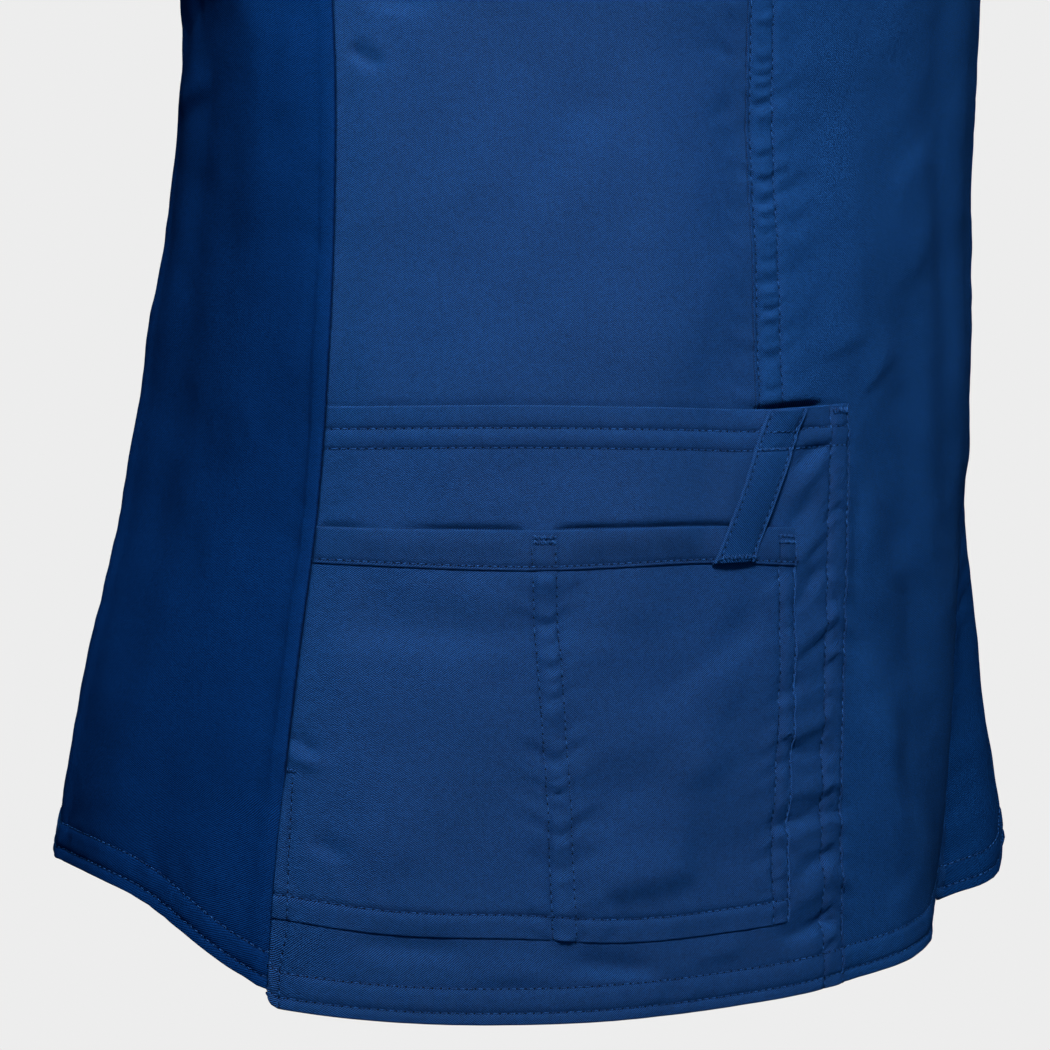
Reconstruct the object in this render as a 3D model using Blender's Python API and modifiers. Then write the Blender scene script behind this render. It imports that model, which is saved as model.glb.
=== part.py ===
"""A women's scrub top as it is cut and sewn, hollow and filled out as if worn.

Units are metres, +Z is up, +X is the wearer's left and -Y is the front.
The origin is on the shoulder line, in the middle of the neck opening.

Every place on the cloth is named by two numbers. "around" goes round the body in
degrees: 0 is the wearer's left side, 90 the centre front, 180 the right side and
270 the centre back. "level" is the height up to the chest, and above that it is
the distance up the cloth, so that it reaches RIDGE on top of the shoulder.
"""

import bpy
import numpy as np
from math import pi

# ---------------------------------------------------------------- driving sizes

WALL = 0.0016            # thickness of a body panel or sleeve
POCKET_WALL = 0.0012     # thickness of a pocket, band or strap
GAP = 0.0003             # clear distance between two sewn pieces
LAYER = POCKET_WALL + GAP

RIDGE = 0.050            # level of the shoulder seam
SEAM_TOP = -0.180        # level where a panel seam runs into the armhole
V_POINT = -0.165         # level of the neckline's point, at the centre front
BACK_NECK = -0.012       # level of the neckline at the centre back
NECK_HALF = 0.088        # half the neck opening, along the shoulder seam
V_BEND = 0.68            # below 1 the sides of the V bow outward

FRONT_SEAM = 30.5        # degrees from the side to the side-front seam
BACK_SEAM_LOW = 27.0     # degrees from the side to the side-back seam, at the hem
BACK_SEAM_WAIST = 25.0   # and at the waist
ARM_SEAM = 20.0          # degrees from the side where both seams meet the armhole
WAIST = -0.360
SEAM_BEND = -0.300       # above this level the seams draw in towards the armhole
SIDE_CORNER = (0.015, 0.07)          # share of a side panel, from a seam, where it turns flat

HEM = -0.692             # lowest level of the front hem
HEM_LOWEST_AT = 108.0    # degrees around where the front hem is lowest
HEM_RISE = 0.0095        # rise of the front hem at the right side-front seam
HEM_RISE_OVER = 41.5     # degrees from the lowest place to that seam
VENT_ROUNDING = 0.004    # extra rise of the front hem's corner at each vent

VENT_ROUNDING_OVER = 2.0             # degrees from the vent over which it is rounded
HEM_RISE_MOST = 0.020    # the front hem's rise stops here

POCKET_A_TOP = -0.4735
POCKET_B_TOP = -0.516
POCKET_B_BAND = -0.530   # lower edge of the band along pocket B's opening
POCKET_B_BOTTOM = -0.664
GAPE = 0.0012            # how far a pocket's mouth stands off between its ends

STRAP_WIDTH = 0.0155
STRAP_TOP = (0.0117, -0.4750)        # (across from the centre front, level)
STRAP_BOTTOM = (-0.0152, -0.5285)
STRAP_LAYERS = (3.4, 1.4)            # its height over the fronts at the bottom and top, in layers

STRAP_BEND = (0.25, 0.90)            # share of its length, from the bottom, over which that changes

SLEEVE_DROP = 38.0       # degrees between the sleeve and straight down
CUFF_CENTRE = (0.275, -0.012, -0.215)
CUFF_RADII = (0.055, 0.063)          # across the sleeve from inside to outside, front to back
LEAVE_HIGH = (1.0, 0.0, -0.22)       # the way the sleeve leaves the armhole at the shoulder
LEAVE_LOW = (0.719, 0.0, -0.473)     # and under the arm
SLEEVE_START = 0.0005    # clear distance from the armhole's edge to the sleeve
SLEEVE_PULL = 0.42       # share of the sleeve's length over which it keeps its first direction
SLEEVE_PUSH = 0.36       # and over which it has its last

NAVY = (0.016, 0.052, 0.158, 1.0)
NAVY_SIDE = (0.014, 0.046, 0.142, 1.0)
NAVY_POCKET = (0.020, 0.062, 0.180, 1.0)

# --------------------------------------------------------------------- tables


def table(columns, rows):
    """A small table as a dictionary of arrays, one for each named column."""
    return dict(zip(columns, np.array(rows, float).T))


# Horizontal sections of the filled-out top. "side_drop" lowers the section's two ends,
# and "side_flat" presses each side panel flatter than the round section, between its seams.
SECTIONS = table(
    ("level", "height", "side_drop", "half_width", "front", "side", "back", "side_flat"), (
        (-0.715, -0.715, 0.000, 0.2130, -0.1300, -0.0060, 0.1420, 0.0140),
        (-0.640, -0.640, 0.000, 0.2060, -0.1285, -0.0070, 0.1320, 0.0140),
        (-0.565, -0.565, 0.000, 0.1945, -0.1275, -0.0090, 0.1140, 0.0140),
        (-0.510, -0.510, 0.000, 0.1850, -0.1270, -0.0120, 0.1010, 0.0140),
        (-0.455, -0.455, 0.000, 0.1815, -0.1255, -0.0200, 0.0840, 0.0130),
        (-0.400, -0.400, 0.000, 0.1805, -0.1230, -0.0275, 0.0620, 0.0110),
        (-0.350, -0.350, 0.000, 0.1815, -0.1205, -0.0330, 0.0450, 0.0080),
        (-0.300, -0.300, 0.000, 0.1850, -0.1230, -0.0300, 0.0490, 0.0040),
        (-0.250, -0.250, 0.000, 0.1890, -0.1280, -0.0230, 0.0640, 0.0000),
        (-0.205, -0.205, 0.000, 0.1905, -0.1240, -0.0160, 0.0760, 0.0000),
        (-0.150, -0.150, 0.000, 0.1900, -0.1120, -0.0080, 0.0820, 0.0000),
        (-0.100, -0.102, 0.004, 0.1920, -0.0970, -0.0030, 0.0800, 0.0000),
        (-0.050, -0.058, 0.015, 0.1940, -0.0750, 0.0000, 0.0670, 0.0000),
        (-0.010, -0.028, 0.029, 0.1950, -0.0480, 0.0000, 0.0460, 0.0000),
        (0.025, -0.0085, 0.042, 0.1950, -0.0220, 0.0000, 0.0215, 0.0000),
        (0.038, -0.0025, 0.047, 0.1950, -0.0110, 0.0000, 0.0110, 0.0000),
        (0.046, -0.0002, 0.050, 0.1950, -0.0038, 0.0000, 0.0038, 0.0000),
        (0.050, 0.000, 0.050, 0.1950, 0.0000, 0.0000, 0.0000, 0.0000),
    ))

# The armhole, from under the arm to the shoulder, in degrees in from the side.
ARMHOLE = table(
    ("level", "front", "back"), (
        (-0.2050, 0.0, 0.0),
        (-0.2035, 7.0, 7.0),
        (-0.1960, 14.0, 14.0),
        (-0.1800, 20.0, 20.0),
        (-0.1500, 27.0, 24.5),
        (-0.1200, 30.0, 26.0),
        (-0.0900, 30.0, 26.0),
        (-0.0600, 28.0, 25.0),
        (-0.0300, 24.0, 22.0),
        (0.0000, 19.0, 18.0),
        (0.0250, 15.0, 14.5),
        (0.0500, 12.0, 12.0),
    ))

UNDERARM_ROWS = 4        # rows of the armhole that lie on the side panels

# The hem of the side panels and the back, in degrees back from a side-front seam.
BACK_HEM = table(
    ("behind_seam", "level"), (
        (0.0, -0.6766),
        (6.0, -0.6710),
        (16.0, -0.6600),
        (30.0, -0.6480),
        (57.0, -0.6400),
        (90.0, -0.6390),
        (120.0, -0.6410),
    ))

# The largest folds: a ridge has a positive depth and a trough a negative one.
FOLDS = table(
    ("around_top", "level_top", "depth_top", "around_low", "level_low", "depth_low", "spread"), (
        (31.0, -0.500, 0.0000, 37.0, -0.700, -0.0340, 14.0),    # pull-in at the left vent's seam
        (14.0, -0.430, 0.0010, 10.0, -0.700, 0.0270, 12.0),     # left side panel swings out
        (60.0, -0.450, -0.0020, 63.0, -0.620, -0.0045, 6.0),    # shade beside pocket A
        (69.0, -0.600, 0.0010, 70.0, -0.720, 0.0030, 5.0),
        (160.0, -0.560, 0.0000, 163.0, -0.720, 0.0030, 8.0),    # right side panel's soft fold
        (184.0, -0.480, 0.0000, 188.0, -0.720, 0.0050, 9.0),
        (228.0, -0.400, 0.0000, 222.0, -0.700, 0.0085, 9.0),    # flare of the back below the waist
        (248.0, -0.420, 0.0000, 243.0, -0.700, -0.0075, 9.0),
        (268.0, -0.400, 0.0000, 265.0, -0.700, 0.0080, 10.0),
        (289.0, -0.430, 0.0000, 291.0, -0.700, -0.0070, 9.0),
        (310.0, -0.400, 0.0000, 314.0, -0.700, 0.0085, 9.0),
        (118.0, -0.250, 0.0035, 150.0, -0.190, 0.0010, 6.0),    # drag from the bust to each underarm
        (62.0, -0.250, 0.0035, 30.0, -0.190, 0.0010, 6.0),
        (240.0, -0.200, 0.0010, 232.0, -0.330, 0.0045, 8.0),    # fullness above the back waist
        (300.0, -0.200, 0.0010, 309.0, -0.330, 0.0045, 8.0),
    ))
FOLD_FADE = 0.035        # length over which a fold dies out past each end
HALF_GAP = 0.09          # a seam's half gap in degrees: the walls lean together a little inside
RIDGE_GAPS = 1.4         # gaps left below the shoulder seam on each side, for the same reason
STEP_AROUND = 0.5        # degrees, for reading the surface's slope
STEP_LEVEL = 0.002

# ------------------------------------------------------------- grid of the cloth

# Rows of the front, from the hem up. "follow" is how much a row follows the hem's curve.
FRONT_ROWS = table(
    ("level", "follow"), (
        (HEM, 1.0),
        (POCKET_B_BOTTOM, 1.1),
        (-0.632, 0.8),
        (-0.598, 0.0),
        (-0.564, 0.0),
        (POCKET_B_BAND, 0.0),
        (POCKET_B_TOP, 0.0),
        (-0.495, 0.0),
        (POCKET_A_TOP, 0.0),
        (-0.436, 0.0),
        (-0.398, 0.0),
        (-0.360, 0.0),
        (-0.322, 0.0),
        (-0.286, 0.0),
        (-0.250, 0.0),
        (-0.214, 0.0),
        (SEAM_TOP, 0.0),
        (V_POINT, 0.0),
        (-0.136, 0.0),
        (-0.106, 0.0),
        (-0.078, 0.0),
        (-0.051, 0.0),
        (-0.025, 0.0),
        (0.000, 0.0),
        (0.025, 0.0),
        (0.045, 0.0),
        (RIDGE, 0.0),
    ))
ROW_A_TOP = 8
ROW_B_TOP = 6
ROW_B_BAND = 5
ROW_B_BOTTOM = 1
ROW_SEAMS = 3            # from this row up, all the panels share their rows' levels
ROW_SEAM_TOP = 16

# Columns of the left front, as shares of the way from the centre front to the side seam.
# The second and third lie on the free edges of pockets B and A, which lean a little.
LEFT_COLUMNS = table(
    ("share_high", "share_low"), (
        (0.000, 0.000),
        (0.077, 0.045),
        (0.245, 0.178),
        (0.360, 0.320),
        (0.480, 0.460),
        (0.600, 0.590),
        (0.720, 0.715),
        (0.860, 0.860),
        (0.985, 0.985),
        (1.000, 1.000),
    ))
COLUMN_B_EDGE = 1
COLUMN_A_EDGE = 2
# A narrow column along each seam keeps the two edges of the seam parallel.
RIGHT_COLUMNS = (0.0, 0.1, 0.2, 0.3, 0.4, 0.5, 0.6, 0.7, 0.8, 0.9, 0.985, 1.0)
SIDE_COLUMNS = (0.0, 0.018, 0.07, 0.2, 0.35, 0.5, 0.65, 0.8, 0.93, 0.982, 1.0)
YOKE_ROWS = (0.13, 0.27, 0.41, 0.55, 0.70, 0.84, 0.96, 1.0)
NECK_SHARE = 0.328       # the back's column that ends where the neck meets the shoulder seam
BACK_COLUMNS = (0.0, 0.007, 0.08, 0.16, 0.24, NECK_SHARE, 0.40, 0.45)
SLEEVE_STEPS = 8


def smooth_read(data, key, name, value):
    """Read one column of a table at a value of another, with a smooth curve."""
    xs = data[key]
    ys = data[name]
    value = np.clip(np.asarray(value, float), xs[0], xs[-1])
    slopes = np.gradient(ys, xs)
    i = np.clip(np.searchsorted(xs, value, side="right") - 1, 0, len(xs) - 2)
    h = xs[i + 1] - xs[i]
    s = (value - xs[i]) / h
    return ((2 * s**3 - 3 * s**2 + 1) * ys[i] + (s**3 - 2 * s**2 + s) * h * slopes[i]
            + (3 * s**2 - 2 * s**3) * ys[i + 1] + (s**3 - s**2) * h * slopes[i + 1])


def ramp(value, low, high):
    """0 below low, 1 above high, smooth between."""
    s = np.clip((value - low) / (high - low), 0.0, 1.0)
    return s * s * (3 - 2 * s)


def fold_depth(around, level):
    """How far the folds push the cloth out at a place, in metres."""
    total = np.zeros(np.broadcast(around, level).shape)
    for i in range(len(FOLDS["spread"])):
        fold = {name: column[i] for name, column in FOLDS.items()}
        high = max(fold["level_top"], fold["level_low"])
        low = min(fold["level_top"], fold["level_low"])
        along = np.clip((level - fold["level_top"]) / (fold["level_low"] - fold["level_top"]), 0.0, 1.0)
        centre = fold["around_top"] + (fold["around_low"] - fold["around_top"]) * along
        depth = fold["depth_top"] + (fold["depth_low"] - fold["depth_top"]) * along
        off = (around - centre + 180.0) % 360.0 - 180.0
        fade = ramp(level, low - FOLD_FADE, low) * (1 - ramp(level, high, high + FOLD_FADE))
        total = total + depth * fade * np.exp(-(off / fold["spread"])**2)
    return total


def seam_in_from_side(level, low, waist):
    """Degrees from the side to a panel seam that draws in to the armhole."""
    lower = low + (waist - low) * ramp(level, HEM, WAIST)
    return lower + (ARM_SEAM - lower) * ramp(level, SEAM_BEND, SEAM_TOP)


def smooth_body(around, level):
    """Places on the filled-out body of the top, without folds."""
    angle = np.radians(around)
    sections = {name: smooth_read(SECTIONS, "level", name, level) for name in SECTIONS}
    reach = np.where(np.sin(angle) > 0, sections["side"] - sections["front"], sections["back"] - sections["side"])
    turned = (around + 180.0) % 360.0 - 180.0
    in_from_side = np.where(np.abs(turned) < 90.0, turned, np.sign(turned) * (180.0 - np.abs(turned)))
    front = seam_in_from_side(level, FRONT_SEAM, FRONT_SEAM)
    back = seam_in_from_side(level, BACK_SEAM_LOW, BACK_SEAM_WAIST)
    share = np.clip((in_from_side + back) / (front + back), 0.0, 1.0)
    from_seam = np.minimum(share, 1 - share)
    flat = sections["side_flat"] * np.sin(pi * share) * ramp(from_seam, *SIDE_CORNER)
    x = sections["half_width"] * np.cos(angle) - flat * np.sign(np.cos(angle))
    y = sections["side"] - reach * np.sin(angle)
    z = sections["height"] - sections["side_drop"] * np.cos(angle)**2
    return np.stack(np.broadcast_arrays(x, y, z), -1)


def outward(surface, around, level):
    """Unit normals of a surface function, pointing out of the body."""
    lower = np.clip(level - STEP_LEVEL, None, RIDGE - 3 * STEP_LEVEL)
    turn = surface(around + STEP_AROUND, level) - surface(around - STEP_AROUND, level)
    rise = surface(around, lower + 2 * STEP_LEVEL) - surface(around, lower)
    normal = np.cross(rise, turn)
    length = np.linalg.norm(normal, axis=-1, keepdims=True)
    return normal / np.maximum(length, 1e-12)


def cloth(around, level, out=0.0):
    """Places on the outside of the body panels, moved out by a distance."""
    around, level = np.broadcast_arrays(np.asarray(around, float), np.asarray(level, float))
    depth = fold_depth(around, level) + out
    return smooth_body(around, level) + outward(smooth_body, around, level) * depth[..., None]


# ------------------------------------------------------------------ seam lines


def front_edge(level):
    """Degrees from the side to the outer edge of a front: the seam, then the armhole."""
    seam = seam_in_from_side(level, FRONT_SEAM, FRONT_SEAM)
    return np.where(level > SEAM_TOP, smooth_read(ARMHOLE, "level", "front", level), seam)


def back_edge(level):
    """Degrees from the side to the outer edge of the back: the seam, then the armhole."""
    seam = seam_in_from_side(level, BACK_SEAM_LOW, BACK_SEAM_WAIST)
    return np.where(level > SEAM_TOP, smooth_read(ARMHOLE, "level", "back", level), seam)


def neck_edge(level):
    """Degrees from the side to the inner edge of a front: the centre, then the V."""
    share = np.clip((level - V_POINT) / (RIDGE - V_POINT), 0.0, 1.0)
    across = NECK_HALF * share**V_BEND
    return np.degrees(np.arccos(across / smooth_read(SECTIONS, "level", "half_width", level)))


def front_hem_rise(around):
    """How far the front hem lies above its lowest level."""
    rise = HEM_RISE * ((around - HEM_LOWEST_AT) / HEM_RISE_OVER)**2
    in_from_vent = np.minimum(np.abs(around - FRONT_SEAM), np.abs(180.0 - FRONT_SEAM - around))
    rise = rise + VENT_ROUNDING * (1 - ramp(in_from_vent, 0.0, VENT_ROUNDING_OVER))
    return np.minimum(rise, HEM_RISE_MOST)


# ------------------------------------------------------------------- the grids


def front_grid(side):
    """Around and level of every point of a front: side is -1 for the wearer's right."""
    rows = len(FRONT_ROWS["level"])
    if side < 0:
        share_high = share_low = np.array(RIGHT_COLUMNS)
    else:
        share_high = LEFT_COLUMNS["share_high"]
        share_low = LEFT_COLUMNS["share_low"]
    around = np.zeros((rows, len(share_high)))
    level = np.zeros_like(around)
    for r in range(rows):
        base = FRONT_ROWS["level"][r]
        outer = front_edge(base) + HALF_GAP
        inner = neck_edge(base) - HALF_GAP
        lean = ramp(base, HEM, POCKET_A_TOP)
        share = share_low + (share_high - share_low) * lean
        degrees = inner + (outer - inner) * share
        around[r] = degrees if side > 0 else 180.0 - degrees
        level[r] = base + FRONT_ROWS["follow"][r] * front_hem_rise(around[r])
    level = np.minimum(level, ridge_edge(around))
    return around, level


def ridge_edge(around):
    """Level of a panel's edge at the shoulder seam, which leaves the gap to the other panel."""
    return RIDGE - RIDGE_GAPS * GAP / np.abs(np.sin(np.radians(around)))


def back_hem(around):
    """Level of the hem of the side panels and the back."""
    behind = np.where(around > 90.0, around - (180.0 - FRONT_SEAM), FRONT_SEAM - around)
    behind = np.where(around > 270.0, 360.0 + FRONT_SEAM - around, behind)
    return smooth_read(BACK_HEM, "behind_seam", "level", behind)


def side_grid(side):
    """Around and level of a side panel, from its front seam to its back seam."""
    shares = np.array(SIDE_COLUMNS)
    shared = FRONT_ROWS["level"][ROW_SEAMS:ROW_SEAM_TOP]
    arm_in = np.abs(ARM_SEAM - 2 * ARM_SEAM * shares)
    under_arm = {name: column[:UNDERARM_ROWS] for name, column in ARMHOLE.items()}
    arm_level = smooth_read(under_arm, "front", "level", arm_in) - GAP
    around = np.zeros((len(shared) + 3, len(shares)))
    level = np.zeros_like(around)
    for c in range(len(shares)):
        start = FRONT_SEAM - (FRONT_SEAM + BACK_SEAM_LOW) * shares[c]
        hem = back_hem(180.0 - start)
        level[:, c] = np.concatenate([[hem, (hem + shared[0]) / 2], shared, [arm_level[c]]])
        front = seam_in_from_side(level[:, c], FRONT_SEAM, FRONT_SEAM) - HALF_GAP
        back = seam_in_from_side(level[:, c], BACK_SEAM_LOW, BACK_SEAM_WAIST) - HALF_GAP
        degrees = front - (front + back) * shares[c]
        around[:, c] = degrees if side > 0 else 180.0 - degrees
    return around, level


def back_grid():
    """Around and level of the back, whose top rows bend down round the neck."""
    half = list(BACK_COLUMNS)
    shares = np.array(half + [0.5] + [1.0 - s for s in reversed(half)])
    neck_share = (shares - NECK_SHARE) / (0.5 - NECK_SHARE)
    neck_share = 1 - np.abs(1 - np.clip(neck_share, 0.0, 2.0))
    shared = FRONT_ROWS["level"][ROW_SEAMS:ROW_SEAM_TOP + 1]
    around = np.zeros((2 + len(shared) + len(YOKE_ROWS), len(shares)))
    level = np.zeros_like(around)
    for c, share in enumerate(shares):
        start = 180.0 + BACK_SEAM_LOW + (180.0 - 2 * BACK_SEAM_LOW) * share
        hem = back_hem(start)
        ridge = ridge_edge(180.0 + (180.0 - 2 * ARMHOLE["back"][-1]) * share + ARMHOLE["back"][-1])
        top = ridge + (BACK_NECK - ridge) * np.sqrt(1 - (1 - neck_share[c])**2)
        yoke = SEAM_TOP + (top - SEAM_TOP) * np.array(YOKE_ROWS)
        level[:, c] = np.concatenate([[hem, (hem + shared[0]) / 2], shared, yoke])
        edge = back_edge(level[:, c]) + HALF_GAP
        around[:, c] = 180.0 + edge + (180.0 - 2 * edge) * share
    return around, level


# ------------------------------------------------------------------- modelling


def make_material(name, colour, roughness=0.85):
    material = bpy.data.materials.new(name)
    material.use_nodes = True
    shader = material.node_tree.nodes["Principled BSDF"]
    shader.inputs["Base Color"].default_value = colour
    shader.inputs["Roughness"].default_value = roughness
    shader.inputs["Metallic"].default_value = 0.0
    material.diffuse_color = colour
    return material


def make_cloth_piece(name, points, wall, colour, closed=False):
    """A wall of cloth under a grid of points; closed joins the last column to the first."""
    rows, columns = points.shape[:2]
    spans = columns if closed else columns - 1
    faces = []
    for r in range(rows - 1):
        for c in range(spans):
            right = (c + 1) % columns
            faces.append((r * columns + c, r * columns + right, (r + 1) * columns + right, (r + 1) * columns + c))
    mesh = bpy.data.meshes.new(name)
    mesh.from_pydata([tuple(p) for p in points.reshape(-1, 3)], [], faces)
    mesh.update()
    mesh.shade_smooth()
    piece = bpy.data.objects.new(name, mesh)
    garment.objects.link(piece)
    mesh.materials.append(make_material(name, colour))
    shell = piece.modifiers.new("Wall", "SOLIDIFY")
    shell.thickness = wall
    shell.offset = -1.0
    return piece


def order_outward(points, closed=False):
    """Reverse the columns where needed, so that the faces look away from the body's axis."""
    rows, columns = points.shape[:2]
    r = (rows - 1) // 2
    c = (columns - 1) // 2
    across = points[r, (c + 1) % columns] - points[r, c]
    up = points[r + 1, c] - points[r, c]
    away = points[r, c] - np.mean(points[r], axis=0) if closed else points[r, c] * (1, 1, 0)
    if np.dot(np.cross(across, up), away) < 0:
        return points[:, ::-1]
    return points


def front_points(side, out=0.0):
    around, level = front_grid(side)
    return cloth(around, level, out)


def pocket_points(low_row, high_row, left_edge, layer, gape_rows):
    """Points over both fronts, from the right side seam to a column of the left front."""
    right_around, right_level = front_grid(-1)
    left_around, left_level = front_grid(1)
    around = np.concatenate([right_around[:, ::-1], left_around[:, 1:left_edge + 1]], axis=1)
    level = np.concatenate([right_level[:, ::-1], left_level[:, 1:left_edge + 1]], axis=1)
    around = around[low_row:high_row + 1]
    level = level[low_row:high_row + 1]
    gape = np.zeros(around.shape)
    across = np.linspace(0.0, pi, around.shape[1])
    for rows_below_top, share in enumerate(gape_rows):
        gape[-1 - rows_below_top] = GAPE * share * np.sin(across)
    return cloth(around, level, layer * LAYER + gape)


def strap_points():
    """The slanting strap, from pocket A's top edge to the band of pocket B."""
    top = np.array(STRAP_TOP)
    bottom = np.array(STRAP_BOTTOM)
    run = top - bottom
    slant = np.hypot(*run) / run[1]
    rows = []
    for share in np.linspace(0.0, 1.0, 8):
        middle = bottom + run * share
        half = STRAP_WIDTH / 2 * slant
        across = middle[0] + np.array((-half, 0.0, half))
        level = np.full(3, middle[1])
        width = smooth_read(SECTIONS, "level", "half_width", level)
        around = np.degrees(np.arccos(across / width))
        layer = STRAP_LAYERS[0] + (STRAP_LAYERS[1] - STRAP_LAYERS[0]) * ramp(share, *STRAP_BEND)
        rows.append(cloth(around, level, layer * LAYER + GAPE + GAP))
    return np.array(rows)


def armhole_ring(side):
    """The armhole's edge points, from under the arm up the front and down the back."""
    side_around, side_level = side_grid(side)
    front_around, front_level = front_grid(side)
    back_around, back_level = back_grid()
    outer = len(front_around[0]) - 1
    back_column = -1 if side > 0 else 0
    first_back = len(back_around) - len(YOKE_ROWS) - 1
    middle = len(SIDE_COLUMNS) // 2
    around = []
    level = []
    for c in range(middle - 1, 0, -1):
        around.append(side_around[-1, c])
        level.append(side_level[-1, c])
    for r in range(ROW_SEAM_TOP, len(front_around)):
        around.append(front_around[r, outer])
        level.append(front_level[r, outer])
    for r in range(len(back_around) - 2, first_back - 1, -1):
        around.append(back_around[r, back_column])
        level.append(back_level[r, back_column])
    for c in range(len(SIDE_COLUMNS) - 2, middle - 1, -1):
        around.append(side_around[-1, c])
        level.append(side_level[-1, c])
    return cloth(np.array(around), np.array(level))


def sleeve_points(side):
    """A short sleeve, swept from the armhole's edge to a round cuff."""
    ring = armhole_ring(side)
    ring[:, 0] *= side
    lengths = np.linalg.norm(np.roll(ring, -1, axis=0) - ring, axis=1)
    share = np.concatenate([[0.0], np.cumsum(lengths)[:-1]]) / lengths.sum()
    lean = np.radians(SLEEVE_DROP)
    down = np.array((np.sin(lean), 0.0, -np.cos(lean)))
    over = np.array((np.cos(lean), 0.0, np.sin(lean)))
    top_share = share[np.argmax(ring[:, 2])]
    turn = np.interp(share, (0.0, top_share, 1.0), (0.0, pi, 2 * pi))
    cuff = (np.array(CUFF_CENTRE) - np.outer(np.cos(turn), over) * CUFF_RADII[0]
            - np.outer(np.sin(turn), (0.0, 1.0, 0.0)) * CUFF_RADII[1])
    high = (0.5 - 0.5 * np.cos(turn))[:, None]
    leave = np.array(LEAVE_LOW) * (1 - high) + np.array(LEAVE_HIGH) * high
    leave /= np.linalg.norm(leave, axis=1, keepdims=True)
    reach = np.linalg.norm(cuff - ring, axis=1, keepdims=True)
    start = ring + leave * SLEEVE_START
    pull = start + leave * reach * SLEEVE_PULL
    push = cuff - down * reach * SLEEVE_PUSH
    rows = []
    for s in np.linspace(0.0, 1.0, SLEEVE_STEPS + 1):
        rows.append((1 - s)**3 * start + 3 * (1 - s)**2 * s * pull + 3 * (1 - s) * s**2 * push + s**3 * cuff)
    points = np.array(rows)
    points[..., 0] *= side
    return points


def build():
    sides = ((-1, "right"), (1, "left"))
    for side, word in sides:
        make_cloth_piece("front_" + word, order_outward(front_points(side)), WALL, NAVY)
        make_cloth_piece("side_panel_" + word, order_outward(cloth(*side_grid(side))), WALL, NAVY_SIDE)
        make_cloth_piece("sleeve_" + word, order_outward(sleeve_points(side), True), WALL, NAVY_SIDE, True)
    make_cloth_piece("back", order_outward(cloth(*back_grid())), WALL, NAVY)
    pocket_a = pocket_points(0, ROW_A_TOP, COLUMN_A_EDGE, 1, (1.0, 0.25))
    pocket_b = pocket_points(ROW_B_BOTTOM, ROW_B_TOP, COLUMN_B_EDGE, 2, (1.0, 0.5))
    band = pocket_points(ROW_B_BAND, ROW_B_TOP, COLUMN_B_EDGE, 3, (1.0, 0.5))
    make_cloth_piece("pocket_lower_layer", order_outward(pocket_a), POCKET_WALL, NAVY_POCKET)
    make_cloth_piece("pocket_upper_layer", order_outward(pocket_b), POCKET_WALL, NAVY)
    make_cloth_piece("pocket_upper_band", order_outward(band), POCKET_WALL, NAVY_POCKET)
    make_cloth_piece("strap_loop", order_outward(strap_points()), POCKET_WALL, NAVY)


for old in list(bpy.data.objects):
    bpy.data.objects.remove(old, do_unlink=True)
garment = bpy.data.collections.new("scrub_top")
bpy.context.scene.collection.children.link(garment)
build()
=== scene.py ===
"""The looks of a women's navy twill scrub top, hollow and filled out as if worn.

Units are metres, +Z is up, +X is the wearer's left and -Y is the front. Every place on the
body of the top is named by "around", in degrees (0 is the left side, 90 the centre front,
180 the right side, 270 the centre back), and by "level": the height up to the chest, and
above that the distance up the cloth to the shoulder seam.

Each cloth piece is a fine grid on the form of its solid. Folds are listed: large ones
by their place around the body, and small creases as strokes. Seams roll in, hems are
turned, and each row of topstitching sinks into the cloth and has its own thread.
"""

from math import pi

import bpy
import numpy as np
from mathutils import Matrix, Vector


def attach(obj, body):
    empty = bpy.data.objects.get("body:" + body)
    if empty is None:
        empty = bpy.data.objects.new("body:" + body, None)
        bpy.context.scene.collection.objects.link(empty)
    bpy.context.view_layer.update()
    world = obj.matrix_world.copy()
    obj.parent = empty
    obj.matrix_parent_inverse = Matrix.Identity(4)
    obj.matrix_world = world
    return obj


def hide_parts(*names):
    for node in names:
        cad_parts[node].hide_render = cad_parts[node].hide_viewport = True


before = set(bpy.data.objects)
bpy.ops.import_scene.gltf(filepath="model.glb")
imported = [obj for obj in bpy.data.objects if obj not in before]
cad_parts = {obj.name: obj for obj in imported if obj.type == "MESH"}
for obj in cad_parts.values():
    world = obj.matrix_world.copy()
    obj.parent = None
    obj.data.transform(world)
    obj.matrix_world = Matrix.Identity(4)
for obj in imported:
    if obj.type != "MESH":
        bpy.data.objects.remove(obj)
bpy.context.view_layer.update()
scene = bpy.context.scene

# --- sizes of the garment

RIDGE = 0.05             # level of the shoulder seam
SEAM_TOP = -0.18         # level where a panel seam runs into the armhole
V_POINT = -0.165
BACK_NECK = -0.012
NECK_HALF = 0.088        # half the neck opening, along the shoulder seam
V_BEND = 0.68
NECK_SHARE = 0.328       # share of the back's width where the neck meets the shoulder seam

FRONT_SEAM = 30.5        # degrees from the side to the side-front seam
BACK_SEAM_LOW = 27.0
BACK_SEAM_WAIST = 25.0
ARM_SEAM = 20.0
WAIST = -0.36
SEAM_BEND = -0.3
SIDE_CORNER = (0.015, 0.07)  # share of a side panel over which its corner at a seam turns
LEFT_CORNER = (0.015, 0.32)

HEM = -0.692
HEM_LOWEST_AT = 108.0
HEM_RISE = 0.0095
HEM_RISE_OVER = 41.5
VENT_ROUNDING = 0.0046
VENT_ROUNDING_OVER = 1.7
HEM_RISE_MOST = 0.0205
VENT_TOP = -0.599
LEFT_HEM_RISE = 0.004    # the left side panel's hem, at the vent

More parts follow.
